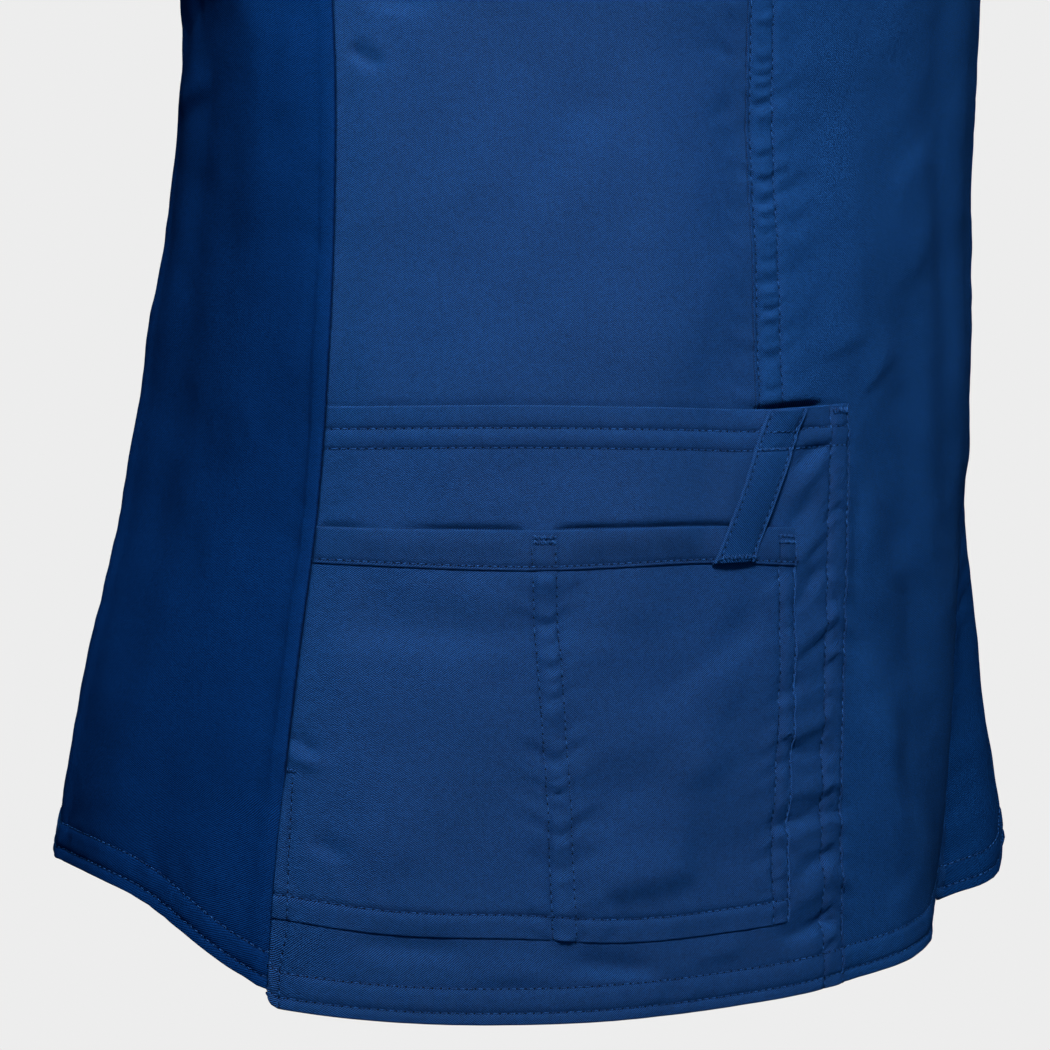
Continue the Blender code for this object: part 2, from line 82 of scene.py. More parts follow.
ARM_RADIUS = 0.068       # measures creases round a sleeve
SLEEVE_DROP = 38.0
CUFF_CENTRE = (0.275, -0.012, -0.215)
CUFF_RADII = (0.055, 0.063)
LEAVE_HIGH = (1.0, 0.0, -0.22)
LEAVE_LOW = (0.719, 0.0, -0.473)
SLEEVE_PULL = 0.42
SLEEVE_PUSH = 0.36
SLEEVE_SEAM_AT = 6.0     # degrees in front of the side where the sleeve's own seam lies

# Sewing
CLOTH = 0.00055          # one layer of twill
TURNED = 0.0015          # three layers, at a turned edge
HEM_ROWS = (0.0042, 0.0129)  # rows of stitching, from the edge
TOP_ROWS = (0.002, 0.0124)  # twin rows along the centre front and the neckline
BAND_ROWS = (0.008, 0.015)  # rows below pocket A's fold
VENT_ROW = 0.0076
BAND_ROW = 0.0016        # row above the band's lower edge
STRAP_ROW = 0.002        # row beside each of the strap's edges
POCKET_B_ROW = 0.0085    # row above pocket B's lower edge
STITCH = 0.0032          # length of a stitch, with its gap
STITCH_GAP = 0.0007
STITCH_JITTER = 0.00008
STITCH_SLANT = 0.00007
TACK_PITCH = 0.00085     # between the close stitches of a bar tack
THREAD = 0.00026         # radius of the thread
PIT_SHADOW_LONG = 0.0005       # half the size of the dark disc painted as the shadow in a needle's pit, along the row
PIT_SHADOW_WIDE = 0.00032
PIT_SHADOW_LIFT = 0.0001
SEAM_ROLL = 0.0011       # how far a sewn edge rolls in
SEAM_DIP = 0.0007        # and how deep
TURNED_LIFT = 0.00035    # how far a turned edge stands proud
EDGE_ROLL = 0.0006       # radius of a turned edge
SINK = 0.00055           # depth of a row of stitching
SINK_HALF = 0.00075

# Height of each layer's outside over the fronts, and of the strap at its two ends.
LAYER_A = 0.001
LAYER_B = 0.0019
LAYER_BAND = 0.0026
STRAP_LOW = 0.0041
STRAP_HIGH = 0.0031


def table(columns, rows):
    """A table of millimetres, read as metres; a column marked / is in degrees or shares, and stays so."""
    values = np.array(rows, float).T
    return {name.strip("/"): part / (1 if "/" in name else 1000)
            for name, part in zip(columns.split(), values)}


SECTIONS = table("level height side_drop half_width front side back side_flat", (
    (-715, -715, 0, 213, -130, -6, 142, 14), (-640, -640, 0, 206, -128.5, -7, 132, 14),
    (-565, -565, 0, 194.5, -127.5, -9, 114, 14), (-510, -510, 0, 185, -127, -12, 101, 14),
    (-455, -455, 0, 181.5, -125.5, -20, 84, 13), (-400, -400, 0, 180.5, -123, -27.5, 62, 11),
    (-350, -350, 0, 181.5, -120.5, -33, 45, 8), (-300, -300, 0, 185, -123, -30, 49, 4),
    (-250, -250, 0, 189, -128, -23, 64, 0), (-205, -205, 0, 190.5, -124, -16, 76, 0),
    (-150, -150, 0, 190, -112, -8, 82, 0), (-100, -102, 4, 192, -97, -3, 80, 0),
    (-50, -58, 15, 194, -75, 0, 67, 0), (-10, -28, 29, 195, -48, 0, 46, 0),
    (25, -8.5, 42, 195, -22, 0, 21.5, 0), (38, -2.5, 47, 195, -11, 0, 11, 0),
    (46, -0.2, 50, 195, -3.8, 0, 3.8, 0), (50, 0, 50, 195, 0, 0, 0, 0),
))

ARMHOLE = table("level front/ back/", (
    (-205, 0, 0), (-203.5, 7, 7), (-196, 14, 14), (-180, 20, 20), (-150, 27, 24.5), (-120, 30, 26),
    (-90, 30, 26), (-60, 28, 25), (-30, 24, 22), (0, 19, 18), (25, 15, 14.5), (50, 12, 12),
))
UNDERARM = {name: column[:4] for name, column in ARMHOLE.items()}

BACK_HEM = table("behind_seam/ level", (
    (0, -676.6), (6, -671), (16, -660), (30, -648), (57, -640), (90, -639), (120, -641),
))

# Edges and rows of the pockets, by their place across the front.
POCKET_A_TOP = table("across level", (
    (-170, -471.2), (-110, -471.1), (-40, -473.2), (0, -474.9), (31, -474.3), (60, -474.1),
))
POCKET_B_TOP = table("across level", (
    (-170, -513.2), (-98, -515.6), (-20, -516.5), (20, -518.8),
))
POCKET_B_BAND = table("across level", (
    (-170, -526.2), (-98, -530.1), (-20, -530), (20, -532.8),
))
POCKET_B_LOW = table("across level", (
    (-185, -650), (-150, -657), (-98, -661.1), (-70, -664), (-15, -663.7), (15, -662),
))
POCKET_A_EDGE = table("level across", (
    (-700, 40.2), (-667, 41), (-620, 41.7), (-580, 43.9), (-510, 46.4), (-470, 47.7),
))
POCKET_B_EDGE = table("level across", (
    (-670, 11.2), (-627, 12.2), (-578, 15.2), (-545, 15.5), (-510, 15.8),
))
DIVIDER = table("level across", (
    (-665, -90.1), (-621, -90.8), (-573, -93.5), (-515, -95.8),
))
DIVIDER_WIDTH = 0.0086
DIVIDER_MIDDLE = -0.0915  # how far across: its middle at the mouth
DIVIDER_ON_BAND = -0.0955  # its first row where it crosses the band
BAND_TACKS = -0.0912     # and the middle of the bar tacks that end it
A_ROWS = (0.0015, 0.0124)  # the two rows along pocket A's free edge
B_ROWS = (0.0014, 0.0086)
STRAP_TOP = (0.0117, -0.4752)  # middle of the strap's ends: across and level
STRAP_BOTTOM = (-0.0152, -0.53)
STRAP_HALF = 0.0092      # half its width, measured level across its slant

# --- folds

# The folds that the solids have too: a ridge has a positive depth and a trough a negative one.
FOLDS = table("around_top/ level_top depth_top around_low/ level_low depth_low spread/", (
    (31, -500, 0, 37, -700, -34, 14), (14, -430, 1, 10, -700, 27, 12), (60, -450, -2, 63, -620, -4.5, 6),
    (69, -600, 1, 70, -720, 3, 5), (160, -560, 0, 163, -720, 3, 8), (184, -480, 0, 188, -720, 5, 9),
    (228, -400, 0, 222, -700, 8.5, 9), (248, -420, 0, 243, -700, -7.5, 9), (268, -400, 0, 265, -700, 8, 10),
    (289, -430, 0, 291, -700, -7, 9), (310, -400, 0, 314, -700, 8.5, 9), (118, -250, 3.5, 150, -190, 1, 6),
    (62, -250, 3.5, 30, -190, 1, 6), (240, -200, 1, 232, -330, 4.5, 8), (300, -200, 1, 309, -330, 4.5, 8),
))
FOLD_FADE = 0.035

# Softer folds that only the cloth has.
SOFT_FOLDS = table("around_top/ level_top depth_top around_low/ level_low depth_low spread/", (
    (90, -300, -1, 90.5, -460, -1.6, 4.5), (101, -320, 0.8, 103, -450, 0.6, 5),
    (133, -250, 1, 128, -420, -0.6, 6), (143, -300, 0.4, 144, -560, 0.8, 3),
    (76, -300, 1.2, 71, -450, 0.4, 5), (52, -270, -1.2, 47, -520, -2.2, 5), (41, -300, 1, 40, -480, 0.6, 4),
    (97, -480, -0.7, 98, -512, -0.9, 2.2), (106, -480, 0.7, 105, -512, 0.8, 3),
    (117, -480, -0.5, 118, -512, -0.6, 3), (131, -480, 0.4, 130, -512, 0.6, 3.5),
    (86.5, -500, 0.4, 86.5, -690, 2.2, 6), (168, -330, 1.6, 172, -600, 0.4, 6),
    (186, -250, -2, 190, -560, -1.2, 6), (12, -250, -1.2, 9, -460, -1, 6), (55, -520, 0, 53, -690, -7.5, 7),
    (40, -560, 0, 38.5, -690, 6, 5.5), (12, -450, 1.4, 10, -700, 1.7, 13),
    (62, -500, 0.8, 64, -630, 2.1, 5.5), (258, -60, 1.6, 262, -250, 0.8, 8),
    (284, -50, 1.8, 279, -240, 0.6, 7), (270, -300, -2, 271, -420, -1.6, 7),
    (217, -150, 2.2, 224, -300, 2, 6), (324, -150, 2.2, 317, -310, 1.8, 6),
    (236, -450, -3, 233, -660, -2.4, 4), (279, -470, 2, 277, -660, 2.6, 4.5),
    (301, -440, 3, 303, -660, 2.2, 4), (255, -460, 1.8, 254, -660, 2.2, 4),
))

# Creases on the front: both ends (across, level), half width and depth.
FRONT_CREASES = table("across1 level1 across2 level2 width depth", (
    (-153, -345, -143, -353, 3, -2), (-150, -327, -128, -330, 5, -1.6), (-86, -368, -56, -366, 9, -0.8),
    (-22, -344, -6, -348, 3, -0.7), (-20, -370, -6, -366, 3, -0.6), (-160, -518, -90, -548, 11, 0.6),
    (-168, -548, -18, -554, 8.5, -1.3), (-80, -609, -28, -604, 11, -1.3), (-85, -557, -40, -545, 11, 1.2),
    (-56, -580, 4, -546, 8.5, -1.4), (-75, -590, -35, -574, 10, -0.6), (-47, -607, -14, -596, 9, 1.3),
    (-78, -622, -64, -618, 5, -0.9), (-76, -644, -30, -638, 8.5, 2.2), (-160, -620, -128, -633, 9, 0.7),
    (-167, -623.5, -158, -630.5, 2.8, -1.7), (-171, -588, -164, -593.5, 2.3, -1.6),
    (-171, -594.5, -162.5, -598.5, 2.6, 1.2), (-86, -670, -48, -675.5, 4, -2.2),
    (-160, -660, -118, -665.5, 3.8, -1.4), (-118, -672, -92, -673.5, 3.5, 0.8),
    (-34, -672, -10, -670, 4, 0.8), (4, -669, 40, -661, 3.6, -2), (12, -656, 46, -648, 3.6, 1),
    (14, -644, 44, -635, 3.4, -1.3), (-4, -627, 50, -623.5, 3, -1.5), (-3, -618, 46, -613, 3, 1.1),
    (-3, -604, 42, -599.5, 3.2, -1.2), (6, -595, 42, -588, 3.4, 1), (0, -582, 22, -574, 3.4, -1),
    (10, -566, 34, -553, 3.6, 0.9), (14, -550, 30, -533, 3, -1.3), (14, -533, 32, -517, 3.4, 1.2),
    (14, -518, 30, -506, 2.8, -1), (13, -508, 30, -496, 3, 1.1), (14, -497.5, 34, -487, 2.6, -1.2),
    (22, -488, 44, -484, 2.4, 0.6), (60, -480, 88, -540, 11, -2), (88, -540, 106, -585, 11, -1.2),
    (92, -598, 103, -635, 10, 1.2), (52, -500, 52, -550, 3.5, -1.2), (53, -562, 76, -615, 7, 1.7),
    (63, -585, 83, -646, 11, 2), (58, -656, 90, -648, 8, -1.2), (56, -470, 78, -456, 5, 1),
    (30, -456, 60, -448, 5, 0.8), (85, -430, 112, -408, 8, 0.6), (75, -390, 108, -370, 8, -0.6),
    (70, -270, 128, -232, 7, 2), (-128, -232, -72, -274, 7, 1.8), (88, -242, 134, -208, 5, -1.6),
    (-134, -208, -90, -244, 5, -1.5), (100, -118, 142, -156, 5.5, -1.4),
    (-142, -154, -102, -116, 5.5, -1.5), (106, -85, 140, -120, 5, 1.2), (-140, -118, -108, -84, 5, 1.2),
    (30, -118, 70, -70, 8, -1), (-70, -68, -32, -116, 8, -1), (-40, -215, 42, -210, 12, -1.4),
    (-50, -305, 48, -310, 10, -1),
))

# Creases on the sides and the back: both ends (around, level), half width and depth.
BACK_CREASES = table("around1/ level1 around2/ level2 width depth", (
    (157, -335, 163, -370, 6, 1), (203, -345, 186, -325, 6, -1.8), (204, -365, 184, -356, 6, 1.4),
    (155, -230, 176, -290, 6, -1.8), (158, -212, 184, -255, 5.5, 1.8), (24, -214, -4, -256, 5.5, 1.8),
    (26, -232, 4, -290, 6, -1.8), (-22, -342, -6, -330, 6, -1.6), (-23, -362, -4, -356, 6, 1.4),
    (26, -500, 18, -560, 6, -0.8), (26, -615, 20, -640, 6, -0.8), (212, -365, 262, -350, 7, -2.2),
    (216, -345, 258, -335, 6.5, 2.2), (214, -322, 246, -319, 6, -1.8), (283, -344, 329, -362, 7, -2.2),
    (288, -329, 326, -342, 6.5, 2.1), (298, -308, 326, -318, 6, -1.6), (232, -395, 282, -386, 8, -1.6),
    (262, -368, 300, -374, 7, 1.4), (216, -285, 238, -250, 7, 2), (302, -248, 325, -282, 7, 2),
    (211, -230, 226, -170, 7, -2), (329, -228, 315, -170, 7, -2), (214, -190, 230, -125, 6, 1.8),
    (326, -188, 311, -122, 6, 1.8), (222, -90, 236, -35, 7, -1.4), (318, -90, 305, -35, 7, -1.4),
    (250, -45, 290, -43, 8, -1.4), (246, -150, 292, -165, 12, -1.2),
))

# Creases on a sleeve: both ends (turn in degrees from the underarm over the front, share of
# the way to the cuff), half width and depth.
SLEEVE_CREASES = table("turn1/ share1/ turn2/ share2/ width depth", (
    (30, 0.05, 80, 0.55, 6, -2.8), (55, 0.05, 105, 0.5, 6, 2.4), (78, 0.04, 122, 0.42, 5, -2),
    (330, 0.05, 285, 0.52, 6, -2.8), (306, 0.05, 258, 0.48, 6, 2.4), (284, 0.04, 240, 0.4, 5, -1.8),
    (10, 0.25, 62, 0.8, 6, 2.2), (350, 0.22, 300, 0.76, 6, 2.2), (-16, 0.5, 44, 0.62, 4.8, -2),
    (130, 0.2, 150, 0.95, 9, -2.2), (196, 0.15, 206, 0.98, 10, 1.8), (232, 0.3, 226, 0.98, 8, -2.2),
    (168, 0.4, 172, 0.99, 8, 1.6), (96, 0.55, 108, 0.99, 8, 2), (262, 0.6, 256, 0.99, 8, 1.8),
))

# --- reading the tables


def smooth_read(data, key, name, value):
    """Read one column of a table at a value of another, with a smooth curve."""
    xs = data[key]
    ys = data[name]
    value = np.clip(np.asarray(value, float), xs[0], xs[-1])
    slopes = np.gradient(ys, xs)
    i = np.clip(np.searchsorted(xs, value, side="right") - 1, 0, len(xs) - 2)
    h = xs[i + 1] - xs[i]
    s = (value - xs[i]) / h
    return ((2 * s**3 - 3 * s**2 + 1) * ys[i] + (s**3 - 2 * s**2 + s) * h * slopes[i]
            + (3 * s**2 - 2 * s**3) * ys[i + 1] + (s**3 - s**2) * h * slopes[i + 1])


def ramp(value, low, high):
    """0 below low, 1 above high, smooth between."""
    s = np.clip((value - low) / (high - low), 0.0, 1.0)
    return s * s * (3 - 2 * s)


def rows_of(data):
    """A table's rows, one dictionary at a time."""
    for values in zip(*data.values()):
        yield dict(zip(data, values))


def bumps(x, y, seed, wrap=None):
    """Smooth random bumps about one unit across, between about -1 and 1; wrap is x's period."""
    angles = np.random.default_rng(seed).random((256, 256)) * 2 * pi
    x, y = np.broadcast_arrays(x, y)
    left = np.floor(x).astype(int)
    low = np.floor(y).astype(int)
    total = np.zeros(x.shape)
    for step_x in (0, 1):
        for step_y in (0, 1):
            across = x - left - step_x
            up = y - low - step_y
            column = (left + step_x) % wrap if wrap else left + step_x
            angle = angles[column % 256, (low + step_y) % 256]
            fade_x = 1 - np.abs(across)
            fade_y = 1 - np.abs(up)
            weight = fade_x**2 * (3 - 2 * fade_x) * fade_y**2 * (3 - 2 * fade_y)
            total = total + weight * (np.cos(angle) * across + np.sin(angle) * up)
    return total * 1.5


# --- the body's form


def fold_depth(around, level, folds):
    """How far a table of folds pushes the cloth out at a place."""
    total = np.zeros(np.broadcast(around, level).shape)
    for fold in rows_of(folds):
        high = max(fold["level_top"], fold["level_low"])
        low = min(fold["level_top"], fold["level_low"])
        along = np.clip((level - fold["level_top"]) / (fold["level_low"] - fold["level_top"]), 0.0, 1.0)
        centre = fold["around_top"] + (fold["around_low"] - fold["around_top"]) * along
        depth = fold["depth_top"] + (fold["depth_low"] - fold["depth_top"]) * along
        off = (around - centre + 180.0) % 360.0 - 180.0
        fade = ramp(level, low - FOLD_FADE, low) * (1 - ramp(level, high, high + FOLD_FADE))
        total = total + depth * fade * np.exp(-(off / fold["spread"])**2)
    return total


def seam_in_from_side(level, low, waist):
    """Degrees from the side to a panel seam that draws in to the armhole."""
    lower = low + (waist - low) * ramp(level, HEM, WAIST)
    return lower + (ARM_SEAM - lower) * ramp(level, SEAM_BEND, SEAM_TOP)


def smooth_body(around, level):
    """Places on the filled-out body of the top, without folds."""
    angle = np.radians(around)
    sections = {name: smooth_read(SECTIONS, "level", name, level) for name in SECTIONS}
    before = sections["side"] - sections["front"]
    behind = sections["back"] - sections["side"]
    reach = np.where(np.sin(angle) > 0, before, behind)
    turned = (around + 180.0) % 360.0 - 180.0
    in_from_side = np.where(np.abs(turned) < 90.0, turned, np.sign(turned) * (180.0 - np.abs(turned)))
    front = seam_in_from_side(level, FRONT_SEAM, FRONT_SEAM)
    back = seam_in_from_side(level, BACK_SEAM_LOW, BACK_SEAM_WAIST)
    share = np.clip((in_from_side + back) / (front + back), 0.0, 1.0)
    from_seam = np.minimum(share, 1 - share)
    corner = np.where(np.cos(angle) > 0, ramp(from_seam, *LEFT_CORNER), ramp(from_seam, *SIDE_CORNER))
    flat = sections["side_flat"] * np.sin(pi * share) * corner
    x = sections["half_width"] * np.cos(angle) - flat * np.sign(np.cos(angle))
    y = sections["side"] - reach * np.sin(angle)
    z = sections["height"] - sections["side_drop"] * np.cos(angle)**2
    return np.stack(np.broadcast_arrays(x, y, z), -1)


def unit(vectors):
    """Vectors of length one."""
    return vectors / np.maximum(np.linalg.norm(vectors, axis=-1, keepdims=True), 1e-12)


def outward(around, level):
    """Unit normals of the smooth body, pointing out."""
    step = 0.002
    lower = np.clip(level - step, None, RIDGE - 3 * step)
    turn = smooth_body(around + 0.5, level) - smooth_body(around - 0.5, level)
    rise = smooth_body(around, lower + 2 * step) - smooth_body(around, lower)
    return unit(np.cross(rise, turn))


def distances(points, axis):
    """Distance along a grid of points from its first row or column."""
    steps = np.linalg.norm(np.diff(points, axis=axis), axis=-1)
    start = np.zeros_like(np.take(steps, [0], axis=axis))
    return np.concatenate([start, np.cumsum(steps, axis=axis)], axis=axis)


GIRTH_AT = np.linspace(0.0, 360.0, 721)
GIRTH_RUN = distances(smooth_body(GIRTH_AT, -0.52)[None], 1)[0]
GIRTH = GIRTH_RUN[-1]


def run_of(around):
    """Distance round the body at hip level, which measures creases and bumps on the body."""
    return np.interp(np.mod(around, 360.0), GIRTH_AT, GIRTH_RUN)


def around_of(across, level):
    """Degrees round the body of a place on the front."""
    return np.degrees(np.arccos(across / smooth_read(SECTIONS, "level", "half_width", level)))


def across_of(around, level):
    return np.cos(np.radians(around)) * smooth_read(SECTIONS, "level", "half_width", level)


def crease_depth(run, level, start, end, width, depth, girth=GIRTH):
    """One crease: a soft stroke from start to end, steeper on one side, fading at both ends."""
    along_run = (end[0] - start[0] + girth / 2) % girth - girth / 2
    along_level = end[1] - start[1]
    length = np.hypot(along_run, along_level)
    off_run = (run - start[0] + girth / 2) % girth - girth / 2
    off_level = level - start[1]
    along = (off_run * along_run + off_level * along_level) / length
    off = (off_run * along_level - off_level * along_run) / length
    taper = min(max(1.5 * width, 0.3 * length), 0.5 * length)
    ends = ramp(along, -0.5 * width, taper) * (1 - ramp(along, length - taper, length + 0.5 * width))
    spread = width * (1 + 0.35 * np.tanh(off / width))
    return depth * ends * np.exp(-(off / spread)**2)


def wander(along, seed):
    """Uneven waves between about -1 and 1, with one wave to each unit."""
    lead, swell, lean = np.random.default_rng(seed).random(3) * 2 * pi
    drift = 0.9 * np.sin(along * 1.31 + lead) + 0.7 * np.sin(along * 2.17 + swell)
    wave = np.sin(2 * pi * along + drift) + 0.22 * np.sin(pi * along + lean)
    return wave * (0.68 + 0.32 * np.sin(along * 0.83 + swell))


def pucker(along, off, half, size, depth, reach, slant, seed):
    """Short ripples along twin rows of stitches, each row half the twin's width from the middle.

    They slant away on both sides, and are held down at the rows themselves.
    """
    wave = wander((along - slant * np.abs(off)) / size, seed)
    held = 0.35 + 0.65 * (1 - np.exp(-((np.abs(off) - half) / 0.002)**2))
    return depth * wave * held * np.exp(-(off / reach)**2)


def hem_rise(around):
    """How far the front hem lies above its lowest level."""
    rise = HEM_RISE * ((around - HEM_LOWEST_AT) / HEM_RISE_OVER)**2
    in_from_vent = np.minimum(np.abs(around - FRONT_SEAM), np.abs(180.0 - FRONT_SEAM - around))
    corner = 1 - np.clip(in_from_vent / VENT_ROUNDING_OVER, 0.0, 1.0)
    rise = rise + VENT_ROUNDING * (1 - np.sqrt(np.maximum(1 - corner**2, 0.0)))
    return rise / (1 + (rise / HEM_RISE_MOST)**6)**(1 / 6)


def front_hem(around):
    return HEM + hem_rise(around)


def back_hem(around):
    behind = np.where(around > 90.0, around - (180.0 - FRONT_SEAM), FRONT_SEAM - around)
    behind = np.where(around > 270.0, 360.0 + FRONT_SEAM - around, behind)
    return smooth_read(BACK_HEM, "behind_seam", "level", behind)


def level_at(data, around, level):
    """Level of a pocket's edge at a place around; level is about where the edge is."""
    return smooth_read(data, "across", "level", across_of(around, level))


def edge_at(data, level):
    """How far across the front a pocket's upright edge or row lies."""
    return smooth_read(data, "level", "across", level)


def body_relief(around, level):
    """All the folds, creases and puckers of the body, which every layer follows."""
    around, level = np.broadcast_arrays(around, level)
    run = run_of(around)
    total = fold_depth(around, level, FOLDS) + fold_depth(around, level, SOFT_FOLDS)
    creases = [(crease, [around_of(crease["across" + n], crease["level" + n]) for n in "12"])
               for crease in rows_of(FRONT_CREASES)]
    creases += [(crease, [crease["around" + n] for n in "12"]) for crease in rows_of(BACK_CREASES)]
    for crease, places in creases:
        ends = [(run_of(place), crease["level" + n]) for place, n in zip(places, "12")]
        total = total + crease_depth(run, level, *ends, crease["width"], crease["depth"])

    for size, height, seed in ((0.06, 0.0014, 5), (0.024, 0.0006, 6), (0.01, 0.00018, 7)):
        cells = round(GIRTH / size)
        total = total + height * bumps(run / GIRTH * cells, level / size + 40, seed, cells)

    # Puckers along upright rows: off the line, where, from low to high, and what pucker() takes.
    front = np.sin(np.radians(around)) > 0
    across = across_of(around, level)
    beside_centre = front * (1 - np.exp(-(across / 0.004)**2))
    off_a = across - edge_at(POCKET_A_EDGE, level)
    off_b = across - edge_at(POCKET_B_EDGE, level)
    off_divider = across - edge_at(DIVIDER, level) - DIVIDER_WIDTH / 2
    top = (-0.48, V_POINT)
    on_a = (-0.69, -0.478)
    on_b = (-0.664, -0.53)
    upright = (
        (across - 0.0072, front, top, 0.0052, 0.0057, 0.00062, 0.008, 0.5, 11),
        (across - 0.0072, front, top, 0.0052, 0.0093, 0.00052, 0.0095, 0.3, 23),
        (across + 0.006, beside_centre, top, 0.0, 0.0108, 0.00062, 0.0055, 0.7, 10),
        (across - 0.02, beside_centre, top, 0.0, 0.017, 0.0005, 0.008, 0.5, 9),
        (off_a + 0.007, front, on_a, 0.0054, 0.0069, 0.00062, 0.01, -0.7, 12),
        (off_a + 0.009, front, on_a, 0.0054, 0.0118, 0.00058, 0.013, -0.4, 24),
        (off_b + 0.005, front, on_b, 0.0036, 0.0062, 0.00062, 0.008, -0.5, 13),
        (off_b + 0.005, front, on_b, 0.0036, 0.0104, 0.0005, 0.01, -0.3, 25),
        (off_divider, front, on_b, 0.0043, 0.0067, 0.00078, 0.009, 0.6, 14),
        (off_divider, front, on_b, 0.0043, 0.0117, 0.0006, 0.011, 0.4, 26),
    )
    for off, where, (low, high), *shape in upright:
        there = where * ramp(level, low - 0.004, low + 0.006) * (1 - ramp(level, high - 0.006, high + 0.004))
        total = total + there * pucker(level, off, *shape)
    front_seam = seam_in_from_side(level, FRONT_SEAM, FRONT_SEAM)
    back_seam = seam_in_from_side(level, BACK_SEAM_WAIST, BACK_SEAM_WAIST)
    seams = (
        (front_seam, 0.00018 + 0.0003 * (1 - ramp(level, -0.54, -0.48)), 15),
        (180.0 - front_seam, 0.0002, 16),
        (-back_seam, 0.0002, 17),
        (180.0 + back_seam, 0.0002, 18),
    )
    below_arm = 1 - ramp(level, SEAM_TOP - 0.02, SEAM_TOP)
    for place, depth, seed in seams:
        off = (run - run_of(place) + GIRTH / 2) % GIRTH - GIRTH / 2
        total = total + below_arm * pucker(level, off, 0.0, 0.013, depth, 0.011, 0.6, seed)

    # Puckers along hems and pocket edges that run round the body.
    on_front_hem = front & (np.abs(around - 90.0) < 90.0 - FRONT_SEAM)
    hem = np.where(on_front_hem, front_hem(around), back_hem(np.mod(around + 90, 360) - 90))
    flat_rows = (
        (hem + 0.0085, True, 0.0043, 0.011, 0.0004, 0.009, 0.8, 19),
        (level_at(POCKET_A_TOP, around, level) - 0.0115, front & (across < 0.05),
         0.0035, 0.01, 0.00034, 0.0085, 0.4, 20),
        (level_at(POCKET_B_LOW, around, level) + POCKET_B_ROW, front & (across < 0.012),
         0.0, 0.011, 0.00045, 0.01, 0.5, 21),
        (level_at(POCKET_B_BAND, around, level) + 0.002, front & (across < 0.016),
         0.0, 0.012, 0.00022, 0.007, 0.3, 22),
    )
    for row, where, *shape in flat_rows:
        total = total + where * pucker(run, level - row, *shape)
    return total


def cloth(around, level, out=0.0):
    """Places on the creased cloth of the body, moved out by a distance."""
    around, level = np.broadcast_arrays(np.asarray(around, float), np.asarray(level, float))
    depth = body_relief(around, level) + out
    return smooth_body(around, level) + outward(around, level) * depth[..., None]


# --- laying out grids

EDGE = np.array((0.0, 0.00008, 0.00025, 0.0005, 0.0008, 0.0011, 0.0017))
FREE_EDGE = EDGE[:5]
ROW = np.array((-0.0012, -0.0006, 0.0, 0.0006, 0.0012))
MOUTH = np.array((-0.003, -0.0012, 0.0, 0.0008, 0.0018, 0.003, 0.0045))
PLAIN = np.array((0.0,))


def lay(keys, counts):
    """Places along a line: each key is (places, offsets), and counts says how many lie between two keys."""
    parts = []
    last = None
    for i, (place, offsets) in enumerate(keys):
        here = np.atleast_1d(np.asarray(place, float))[:, None] + offsets
        if i:
            share = np.arange(1, counts[i - 1] + 1) / (counts[i - 1] + 1)
            parts.append(last[:, -1:] + (here[:, :1] - last[:, -1:]) * share)
        parts.append(here)
        last = here
    rows = max(len(part) for part in parts)
    return np.concatenate([np.broadcast_to(part, (rows, part.shape[1])) for part in parts], axis=1)


def between(keys, step):
    """How many places fit between neighbouring keys, at about the given steps."""
    steps = np.broadcast_to(step, (len(keys) - 1,))
    gaps = [np.mean(b[0]) + b[1][0] - np.mean(a[0]) - a[1][-1] for a, b in zip(keys, keys[1:])]
    return [max(int(round(gap / s)) - 1, 0) for gap, s in zip(gaps, steps)]


def shares_across(level, start, end, keys, counts):
    """Shares of the way from start to end, in degrees, for columns at set distances from start.

    A key's place is a distance from the start, or minus a distance from the end.
    """
    angles = start + (end - start) * np.linspace(0.0, 1.0, 160)
    run = distances(smooth_body(angles, level)[None], 1)[0]
    fixed = [(place if place >= 0 else run[-1] + place, offsets) for place, offsets in keys[:-1]]
    fixed.append((run[-1], keys[-1][1]))
    spots = lay(fixed, counts)[0]
    return np.interp(spots, run, np.linspace(0.0, 1.0, 160)), fixed


class Grid:
    """A cloth piece's rows and columns, on the body: around, level and where its edges are."""

    def __init__(self, edges, curves, row_steps, columns, column_step):
        """edges(level) gives both ends in degrees; curves, upward, are (level at around, offsets, about)."""
        guess = -0.5
        start, end = edges(np.array(guess))
        _, fixed = shares_across(guess, start, end, columns, [0] * (len(columns) - 1))
        column_counts = between(fixed, column_step)

        def share_at(level):
            first, last = edges(np.array(level))
            return shares_across(level, first, last, columns, column_counts)[0]

        keys = []
        for curve, offsets, about in curves:
            level = np.full(len(share_at(about)), about)
            for _ in range(3):
                first, last = edges(level)
                level = curve(first + (last - first) * share_at(float(np.mean(level)))) + 0 * level
            keys.append((level, offsets))
        counts = between(keys, row_steps)
        self.level = lay(keys, counts).T
        shares = np.array([share_at(float(np.mean(row))) for row in self.level])
        first, last = edges(self.level)
        self.around = first + (last - first) * shares
        self.places = (self.around, self.level)
        points = smooth_body(*self.places)
        self.start = distances(points, 1)
        self.end = self.start[:, -1:] - self.start
        low = distances(points, 0)
        self.high = low[-1:] - low


# --- small profiles


def roll(distance, radius, depth=None):
    """A rounded edge: how far it falls at a distance in from it."""
    s = 1 - np.clip(distance / radius, 0.0, 1.0)
    return -(depth or radius) * (1 - np.sqrt(np.maximum(1 - s * s, 0.0)))


def sewn(distance, *rows):
    """Share of the groove that rows of stitching pull into the cloth: 1 at a row."""
    return sum(np.exp(-((distance - row) / SINK_HALF)**2) for row in rows)


def crossed(*rows):
    """Rows of stitching that cross, where the groove is no deeper than one row's."""
    return np.minimum(sum(rows), 1.0)


def turned_edge(distance, rows):
    """A turned edge: a rounded fold and a slightly thicker band."""
    return roll(distance, EDGE_ROLL) + TURNED_LIFT * (1 - ramp(distance, rows[-1], rows[-1] + 0.0012))


